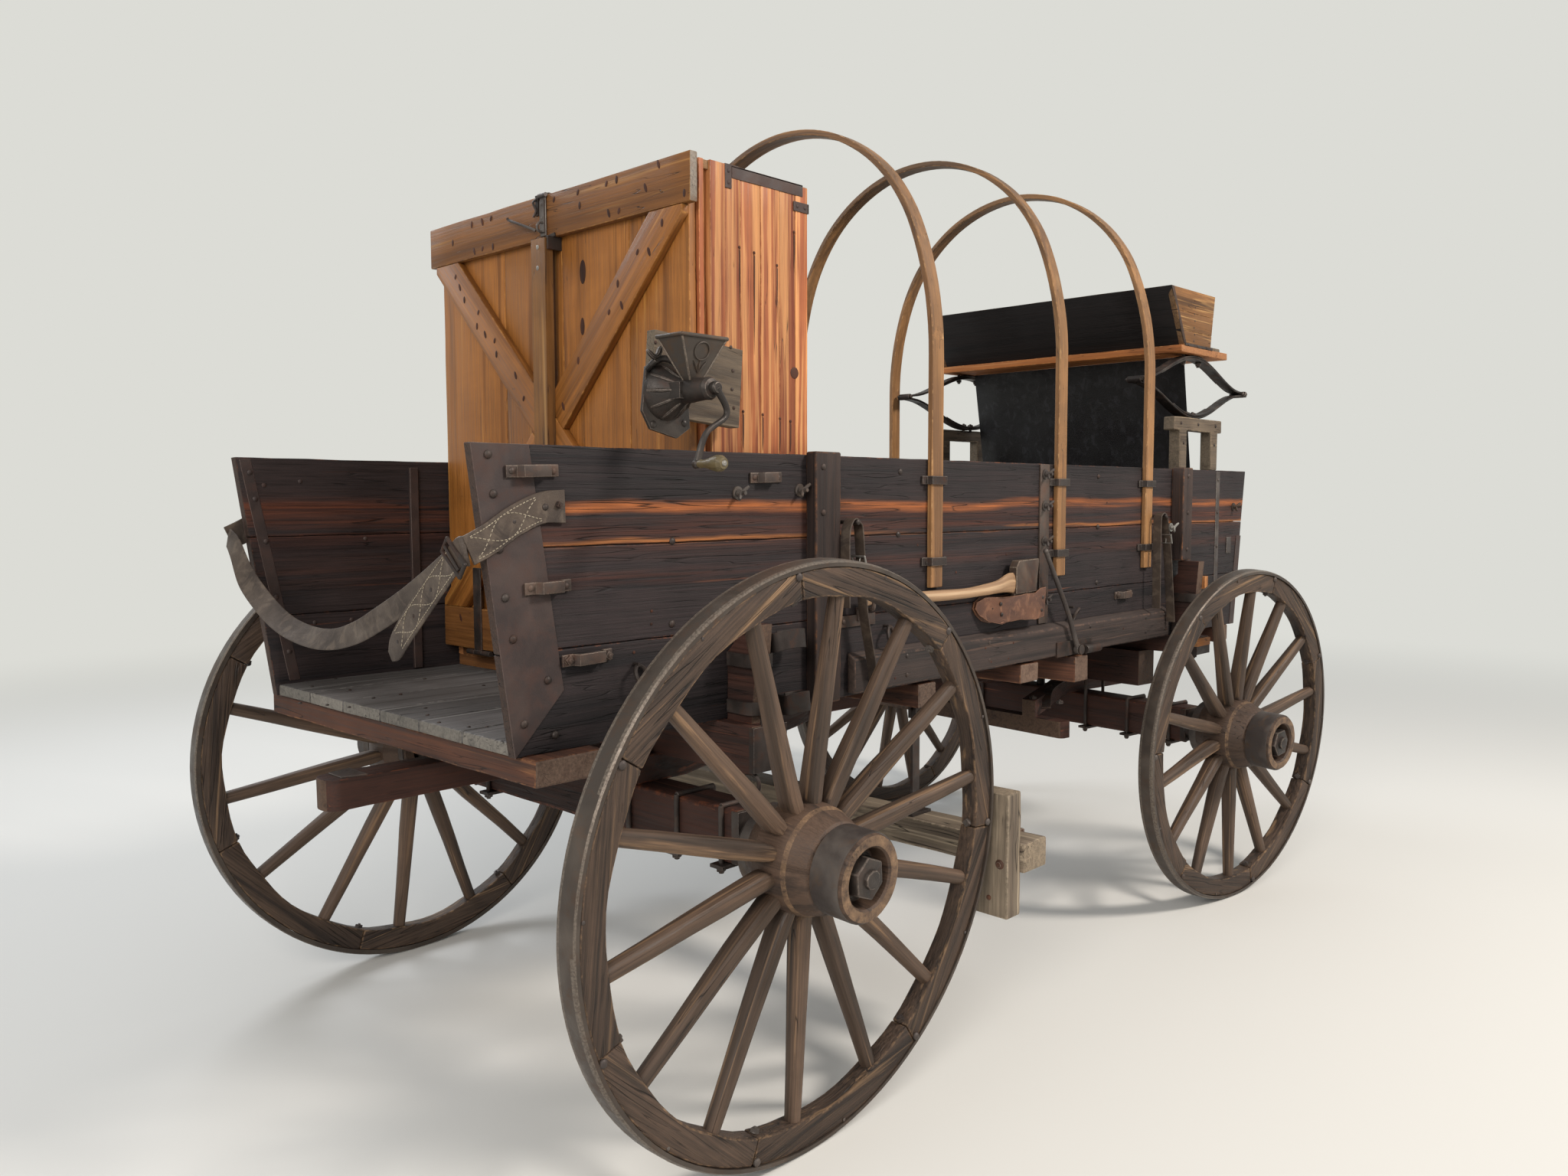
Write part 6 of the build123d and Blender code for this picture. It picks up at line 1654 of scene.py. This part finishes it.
class Seat(Assembly):
    """The sprung seat: risers, elliptic springs, bench, plank, and the black sheet hung under it as painted shade.
    """

    worn = (Worn("seat_risers", Paint.OLD, 4, 2, 0, 60), Worn("seat_plank", Paint.OLD, 5, 2.5, 1, 60))
    middle, reach = 1315, 430.0    # of a spring, along x
    centre, rise = 1768.5, 116.5     # of a spring, along z

    def leaf(self, height: float, flip: int, share: float, thick: float) -> Strap:
        """Give one leaf of a spring.

        Args:
            height: how far inside the spring's outline it lies.
            flip: 1 for the upper bow, -1 for the lower.
            share: of the spring's length that it has.
            thick: its thickness.

        Returns:
            The leaf as a strap.
        """
        line = []
        for step in range(-6, 7):
            bow = (1 + cos(pi * step / 6 * share)) / 2
            line.append((self.middle + step / 6 * self.reach * share, 495,
                         self.centre + flip * (5 + (self.rise - height - 5) * bow)))
        return Strap(line, [(0, 0, flip)] * len(line), 42, thick, steps=4)

    def make_springs(self) -> None:
        """Stack the leaves, roll the eyes and bolt the clamps."""
        stock = Stock()
        for _ in stock.both():
            for row in ((5, 1, 1, 8), (13.2, 1, 0.62, 7), (5, -1, 1, 8), (13, -1, 0.4, 6)):
                self.leaf(*row).lay(stock)
            for x in (self.middle - self.reach, self.middle + self.reach):
                stock.rod((x, 470, self.centre), (x, 520, self.centre), 12, sides=18)
                stock.rod((x, 462, self.centre), (x, 530, self.centre), 6)
                stock.nut((x, 520, self.centre), (0, 1, 0), 18, 8)
            for end in SIDES:
                x = self.middle + end * 62
                stock.rod((x, 495, 1846), (x, 495, 1884), 6)
                stock.nut((x, 495, 1862), (0, 0, -1), 19, 10)
                x = self.middle + end * 24.8
                stock.rod((x, 495, 1645), (x, 495, 1678), 6)
                stock.nut((x, 495, 1668), (0, 0, 1), 18, 9)
        stock.soften(*FORGED)
        stock.finish("spring_leaves", Paint.SPRING, "seat_springs")

    def make_bench(self) -> None:
        """Nail up the seat's board, ends and black back."""
        board, ends, back = Stock(), Stock(), Stock()
        board.box((1165, 1551), (-530, 530), (1885, 1910))
        board.wear(3, 1.5, 1, 80)
        board.finish("seat_board", Paint.SEAT_EDGE, "seat_bench")
        cuts = (1910, 1962, 2028, 2108)
        for _ in ends.both():
            for low, high in zip(cuts, cuts[1:]):
                outline = [(1188 - 113 * (z - 1910) / 198, z) for z in (low, high)]
                outline += [(1406 + 29 * (z - 1910) / 198, z) for z in (high, low)]
                ends.slab(outline, 1, 508, 21.5)
        ends.wear(2.5, 1.2)
        ends.finish("seat_ends", Paint.SEAT_END)
        back.slab(((1188, 1910.5), (1075, 2108), (1096, 2108), (1209, 1910.5)), 1, -530, 1060)
        back.wear(2.5, 1, 1)
        back.finish("seat_back", Paint.SEAT)

    def make_apron(self) -> None:
        """Hang a black sheet under the seat in soft upright folds: painted shade that darkens the space there."""
        stock = Stock()
        wide, tall = 0.93, 0.4218
        bmesh.ops.create_grid(stock.bm, x_segments=72, y_segments=26, size=0.5)
        for vert in stock.bm.verts:
            across, down = vert.co.x + 0.5, vert.co.y + 0.5
            stock.mark(vert, (across * wide / MM, down * tall / MM, 0))
            fold = 5.5 * down * sin(across * 19 + 1.5 * sin(across * 7)) + 3 * down * noise.noise(
                Vector((across * 9, down * 3, 0)))
            vert.co = Vector((1325 + 74 * down + fold, (across - 0.5) * 2 * 464.5, 1884 - 413 * down))
        bmesh.ops.solidify(stock.bm, geom=list(stock.bm.faces), thickness=2.2)
        # a black sheet standing in for the shade under the seat, not a cloth that the wagon has
        made = stock.finish("seat_shade_sheet", Paint.CLOTH, "seat_apron")

    def make_fastenings(self) -> None:
        """Nail the ends, bolt the risers and edge the bench with its iron."""
        stock = Stock()
        for _ in stock.both():
            stock.wall_studs([(1262 + 6 * (k % 2), 1930 + 24 * k) for k in range(7)], 529.5, 3.4, 1.4)
            stock.wall_studs(((1150, 1630), (1290, 1630), (1440, 1630), (1172, 1560), (1432, 1560)), 541.5, 6, 3.5)
            stock.box((1190, 1420), (506, 532), (1909, 1918))
            stock.wall_studs(((1215, 1914), (1290, 1914), (1370, 1914)), 532, 5, 3)
        stock.finish("seat_nails", Paint.IRON)


class Brake(Assembly):
    """The swinging brake beam with its blocks, and the hand lever on its bracket."""

    worn = (Worn("brake_brackets", Paint.IRON, 1, 0.2), Worn("brake_links", Paint.IRON, 1, 0.2, body=Body.BRAKE))

    def make_beam(self) -> None:
        """Hew the beam and the two cracked blocks."""
        stock = Stock()
        for _ in stock.both():
            stock.box((-484, -424), (782.5, 887.5), (335, 645))
        stock.box((-424, -320), (-897, 897), (438, 512))
        stock.slice_along(2, 40)
        stock.slice_along(1, 90)
        stock.soften(5)
        stock.wobble(2.6, 70)
        stock.finish("brake_timbers", Paint.BLOCK, "brake_beam", body=Body.BRAKE)

    def make_irons(self) -> None:
        """Clamp the blocks to the beam and bolt them through."""
        stock = Stock()
        for _ in stock.both():
            for y in (804, 866):
                stock.rod((-492, y, 470), (-310, y, 470), 7)
                stock.nut((-320, y, 470), (1, 0, 0), 22, 12)
                stock.dome((-484, y, 470), (-1, 0, 0), 13, 5)
            stock.box((-430, -314), (790, 826), (508, 517))
            stock.box((-430, -314), (790, 826), (433, 441))
            stock.box((-320, -313), (788, 828), (434, 516))
            stock.nut((-340, 808, 516), (0, 0, 1), 20, 11)
            stock.nut((-340, 808, 434), (0, 0, -1), 20, 11)
            stock.studs([(-484, 835, 380), (-484, 835, 600)], (-1, 0, 0), 7, 3)
            stock.hoop((-372, 330, 520), (0, 1, 0), 20, 5)
        stock.soften(*FORGED)
        stock.finish("brake_irons", Paint.RUSTED, body=Body.BRAKE)

    def make_lever(self) -> None:
        """Forge the lever with its eye and rolled grip."""
        stock = Stock()
        line = curve_through([(376, -583, 893), (346, -583, 948), (312, -583, 1012), (245, -583, 1109),
                              (178, -583, 1205)], 5)
        stock.bar(line, [8.2 - 1.2 * k / (len(line) - 1) for k in range(len(line))], 12)
        stock.dome((178, -583, 1205), (-0.5, 0, 0.85), 8.5, 8.5)
        stock.lathe(((6.3, -7), (15, -7), (15, 7), (6.3, 7)), 24, aim((376, -583, 893), (0, -1, 0)))
        stock.soften(0.6, 1, 50)
        stock.finish("lever_forged", Paint.STRIP, "brake_lever", body=Body.LEVER)


class SideGear(Assembly):
    """The axe in its pouch, and the straps of the right side and the tail."""

    # columns: x, z, half height, half thickness
    handle = (
        (-658, 1107, 15, 9), (-640, 1110, 14, 10), (-600, 1114, 12, 10), (-520, 1112, 12, 10),
        (-430, 1107, 13.5, 10.5), (-340, 1104, 15, 11), (-220, 1103, 14, 11), (-130, 1107, 16, 11),
        (-60, 1112, 19, 11), (-10, 1120, 27, 10.5), (24, 1118, 31, 10))
    # columns: x, z
    pouch = (
        (-143, 1052), (-136, 1070), (-110, 1083), (-60, 1084), (0, 1082), (60, 1086), (120, 1085), (150, 1098),
        (176, 1100), (172, 1050), (168, 1012), (120, 1006), (40, 1012), (-20, 1010), (-60, 1006), (-100, 1016),
        (-128, 1034))
    pouch_wall = ((-60, 1010), (-20, 1013), (40, 1015), (120, 1009), (160, 1015), (164, 1052), (168, 1088))
    hung_straps = (((-735, 1100), (-736, 1200), (-735, 1278), (-724, 1306), (-711, 1314), (-695, 1304),
                    (-685, 1280), (-674, 1150), (-667, 1080), (-642, 980), (-625, 905)),
                   ((900, 985), (897, 1140), (897, 1284), (906, 1305), (922, 1311), (938, 1302), (948, 1280),
                    (975, 1180), (996, 1050), (1014, 930)))
    # columns: x, y, z, how far the strap's face looks down or up
    tail_line = (
        (-1739, 546, 1270, 0), (-1742, 500, 1246, 0.35), (-1744, 433, 1176, 0.85), (-1744, 330, 1118, 1.1),
        (-1743, 227, 1080, 1.1), (-1742, 110, 1063, 0.85), (-1741, 0, 1065, 0.5), (-1740, -110, 1088, 0.15),
        (-1740, -207, 1122, 0), (-1740, -310, 1163, 0), (-1740, -392, 1200, 0), (-1740, -480, 1243, 0),
        (-1741, -535, 1268, 0))
    tongue_line = (
        (-1738, -546, 1270), (-1747, -532, 1266), (-1749, -480, 1228), (-1750, -400, 1164), (-1750, -330, 1107),
        (-1748, -290, 1072), (-1746, -268, 1054))

    def make_axe(self) -> None:
        """Shape the curved handle and grind the head."""
        handle, head = Stock(), Stock()
        points = curve_through([(x, 0, z) for x, z, *_ in self.handle], 5)
        sizes = curve_through([(tall, thick, 0) for *_, tall, thick in self.handle], 5)
        rings, flat = [], []
        for point, size in zip(points, sizes):
            ring = [(size.x * c, size.y * s) for c, s in circle(16)]
            rings.append([Vector((point.x, -571 + b, point.z + a)) for a, b in ring])
            flat.append([(point.x, a, b) for a, b in ring])
        handle.loft(rings, flat)
        handle.finish("axe_handle_shaped", Paint.HANDLE, "axe_handle")
        head.slab(((20, 1087), (20, 1164), (34, 1183), (138, 1186), (140, 1180), (127, 1090)), 1, -558, -26)
        head.slab(((20, 1088), (127, 1091), (121, 1022), (29, 1022)), 1, -564, -14)
        for vert in head.bm.verts:
            if vert.co.z < 1060:
                vert.co.y = -571 + (vert.co.y + 571) * 0.3
        head.soften(2.5, 3)
        head.finish("axe_head_ground", Paint.AXE, "axe_head")

    def make_pouch(self) -> None:
        """Fold the leather pouch over the blade and rivet it to the box."""
        stock, rivets = Stock(), Stock()
        for level, shrink in ((-541.5, 1), (-583, 0.985)):
            stock.slab([(x * shrink, 1046 + (z - 1046) * shrink) for x, z in self.pouch], 1, level, -4.5)
        stock.ribbon([(x, -564, z) for x, z in self.pouch_wall], (0, 1, 0), 42, 4)
        for vert in stock.bm.verts:
            if vert.co.x < -60 and vert.co.y < -560:
                vert.co.y += min(1, (-60 - vert.co.x) / 70) * 34
        bmesh.ops.subdivide_edges(stock.bm, edges=[e for e in stock.bm.edges if e.calc_length() > 30], cuts=3,
                                  use_grid_fill=True)
        stock.soften(1.6, 2, 40)
        stock.wobble(2, 45)
        stock.finish("pouch_folded", Paint.POUCH, "axe_holder")
        rivets.studs([(-118, -552, 1048), (-84, -572, 1052), (-62, -585, 1064), (-58, -586, 1034), (158, -587, 1070),
                      (152, -587, 1032)], (0, -1, 0), 6, 3.4)
        rivets.finish("pouch_rivets", Paint.IRON)

    def make_side_straps(self) -> None:
        """Rivet the tail strap's ends on and hang the two long straps on their pegs."""
        leather, thread, iron, bright = Stock(), Stock(), Stock(), Stock()
        for side in SIDES:
            line = [(x, side * y, z) for x, y, z in (
                (-1526, 547.5, 1349), (-1580, 548, 1346), (-1640, 548, 1322), (-1692, 547.5, 1291),
                (-1737, 547, 1270))]
            strap = Strap(line, [(0, side, 0)] * 5, 60, 5, (1.08, 1, 0.98, 0.98, 0.96))
            strap.lay(leather)
            strap.stitch(thread, 62, 214)
            strap.punch(iron, (120,))
            iron.studs([(-1542, side * 550, 1352), (-1572, side * 550, 1348)], (0, side, 0), 7, 5)
            iron.nut((-1542, side * 551, 1352), (0, side, 0), 11, 6)
        for path in self.hung_straps:
            facing = []
            for index in range(len(path)):
                a, b = path[max(index - 1, 0)], path[min(index + 1, len(path) - 1)]
                facing.append((a[1] - b[1], 0, b[0] - a[0]))
            strap = Strap([(x, -583.5, z) for x, z in path], facing, 30, 4, steps=4)
            strap.lay(leather)
            strap.punch(iron, [strap.runs[-1] * t for t in (0.72, 0.78, 0.84, 0.9)], 2.6)
        for x, z in ((-711, 1306), (920, 1301)):
            iron.rod((x, -541, z), (x, -602, z), 5)
            iron.dome((x, -602, z), (0, -1, 0), 7, 4)
        for x, z, tall in ((962, 1222, 30), (-684, 1210, 26)):
            bright.frame(aim((x, -583, z), (1, 0, 0.3)), 40, tall, 2.8)
            bright.rod((x, -583, z - tall / 2), (x + 4, -583, z + tall / 2), 2.2)
        bright.wing((958, -600, 1262), (0, -1, 0), 16)
        leather.finish("side_leather", Paint.LEATHER, "side_straps")
        thread.finish("side_stitching", Paint.STITCH)
        iron.finish("strap_rivets", Paint.IRON)
        bright.finish("strap_buckles", Paint.STEEL)

    def make_tail_strap(self) -> None:
        """Hang the strap across the open tail, with its long stitched tongue."""
        leather, thread, iron = Stock(), Stock(), Stock()
        facing = [(-1, 0, row[3]) for row in self.tail_line]
        Strap([row[:3] for row in self.tail_line], facing, 50, 4.5).lay(leather)
        near = Strap(self.tongue_line, [(-0.7, -0.7, 0)] + [(-1, 0, 0)] * 6, 58, 5,
                     (0.95, 0.95, 1, 1.02, 1, 0.9, 0.45))
        near.lay(leather)
        near.stitch(thread, 48, near.runs[-1] - 60)
        near.punch(iron, [near.runs[-1] * t for t in (0.38, 0.62, 0.86)], 4.5)
        buckle, _ = near.spot(34, 0, 0)
        iron.frame(aim(buckle, (-1, 0, 0), 52), 30, 74, 4.2)
        iron.rod(buckle + Vector((-3, -22, -22)), buckle + Vector((-3, 24, 20)), 3)
        pieces = (leather.finish("tail_strap_leather", Paint.LEATHER, "tail_strap"),
                  thread.finish("tail_strap_stitching", Paint.STITCH),
                  iron.finish("tail_strap_buckle", Paint.IRON))
        for piece in pieces:
            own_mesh(piece)


class Studio(Assembly):
    """The floor, the lights and the camera."""

    eye = (-2.8625, -2.411, 1.363)
    angles = (43.703, -4.387, -0.12)    # yaw, pitch and roll of the camera, degrees
    lens = 26.73
    # columns: place, size, watts, colour
    lamps = (((1.9, -5.4, 5.4), 1.4, 400, "fff6ee"), ((-5.4, -3, 3.6), 3, 190, "fff8f2"),
             ((-1, 5, 5), 3, 170, "f2f6ff"))

    def make_floor(self) -> None:
        """Lay a wide pale floor that fades into the backdrop."""
        bm = bmesh.new()
        bmesh.ops.create_grid(bm, x_segments=1, y_segments=1, size=60)
        bmesh.ops.translate(bm, vec=(0, 0, -0.0005), verts=bm.verts)
        floor = link("studio_floor", bpy.data.meshes.new("studio_floor"))
        bm.to_mesh(floor.data)
        bm.free()
        made, add = new_tree("Studio_floor_pale")
        reach = add("VectorMath", {0: add("TexCoord")["Object"]}, operation="LENGTH")["Value"]
        far = add("MapRange", {0: reach, 1: 3.4, 2: 9.5}, interpolation_type="SMOOTHSTEP")[0]
        path = add("LightPath")
        seen = add("Math", {0: path["Is Camera Ray"], 1: path["Is Glossy Ray"]}, operation="MAXIMUM")[0]
        seen = add("Math", {0: seen, 1: path["Is Transmission Ray"]}, operation="MAXIMUM")[0]
        share = add("Math", {0: seen, 1: far}, operation="MULTIPLY")[0]
        matt = add("BsdfPrincipled", {"Base Color": "dddcd6", "Roughness": 0.85})[0]
        glow = add("Emission", {"Color": BACKDROP, "Strength": 1.0})[0]
        add("OutputMaterial", {0: add("MixShader", {0: share, 1: matt, 2: glow})[0]})
        floor.data.materials.append(made)

    def make_lights(self) -> None:
        """Hang the lamps and set the world's colour."""
        for index, (place, size, watts, colour) in enumerate(self.lamps):
            lamp = bpy.data.lights.new(f"lamp_{index}", "AREA")
            lamp.shape, lamp.size, lamp.energy, lamp.color = "DISK", size, watts, linear(colour)[:3]
            link(lamp.name, lamp).matrix_world = aim(place, Vector(place) - Vector((0, 0, 1.1)))
        world = bpy.data.worlds.new("studio_world")
        bpy.context.scene.world = world
        world.use_nodes = True
        world.node_tree.nodes.clear()
        add = partial(add_node, world.node_tree)
        path = add("LightPath")
        seen = add("Math", {0: path["Is Camera Ray"], 1: path["Is Glossy Ray"]}, operation="MAXIMUM")[0]
        light = add("Background", {"Color": "e8ecf0", "Strength": 0.55})[0]
        shown = add("Background", {"Color": BACKDROP, "Strength": 1.0})[0]
        add("OutputWorld", {0: add("MixShader", {0: seen, 1: light, 2: shown})[0]})

    def make_camera(self) -> None:
        """Stand the camera where the photograph was taken."""
        yaw, pitch, roll = (radians(a) for a in self.angles)
        ahead = Vector((cos(yaw) * cos(pitch), sin(yaw) * cos(pitch), sin(pitch)))
        right = Vector((sin(yaw), -cos(yaw), 0))
        up = right.cross(ahead)
        right, up = (right * cos(roll) + up * sin(roll), up * cos(roll) - right * sin(roll))
        camera = bpy.data.cameras.new("camera")
        camera.sensor_fit, camera.sensor_width, camera.lens, camera.clip_end = "HORIZONTAL", 36, self.lens, 200
        stand = link("camera", camera)
        stand.matrix_world = Matrix.Translation(self.eye) @ Matrix((right, up, -ahead)).transposed().to_4x4()
        bpy.context.scene.camera = stand


# columns: name, axle x, side, radius, on the front gear, phase
WHEELS = (("rear_left", -KING_X, 1, 622, False, 6), ("rear_right", -KING_X, -1, 622, False, -4.4),
          ("front_left", KING_X, 1, 562, True, 11), ("front_right", KING_X, -1, 562, True, 24.4))


def main() -> None:
    """Build the wagon around the frame, piece by piece."""
    logging.basicConfig(level=logging.INFO, format="%(name)s: %(message)s")
    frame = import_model()
    scene = bpy.context.scene
    scene.view_settings.view_transform = "Standard"
    wheels = [Wheel(*row) for row in WHEELS]
    for part in (*wheels, RunningGear(), WagonBox(), ChuckBox(), Mill(), Seat(), Brake(), SideGear(), Studio()):
        part.build(frame["nodes"])


if __name__ == "__main__":
    main()
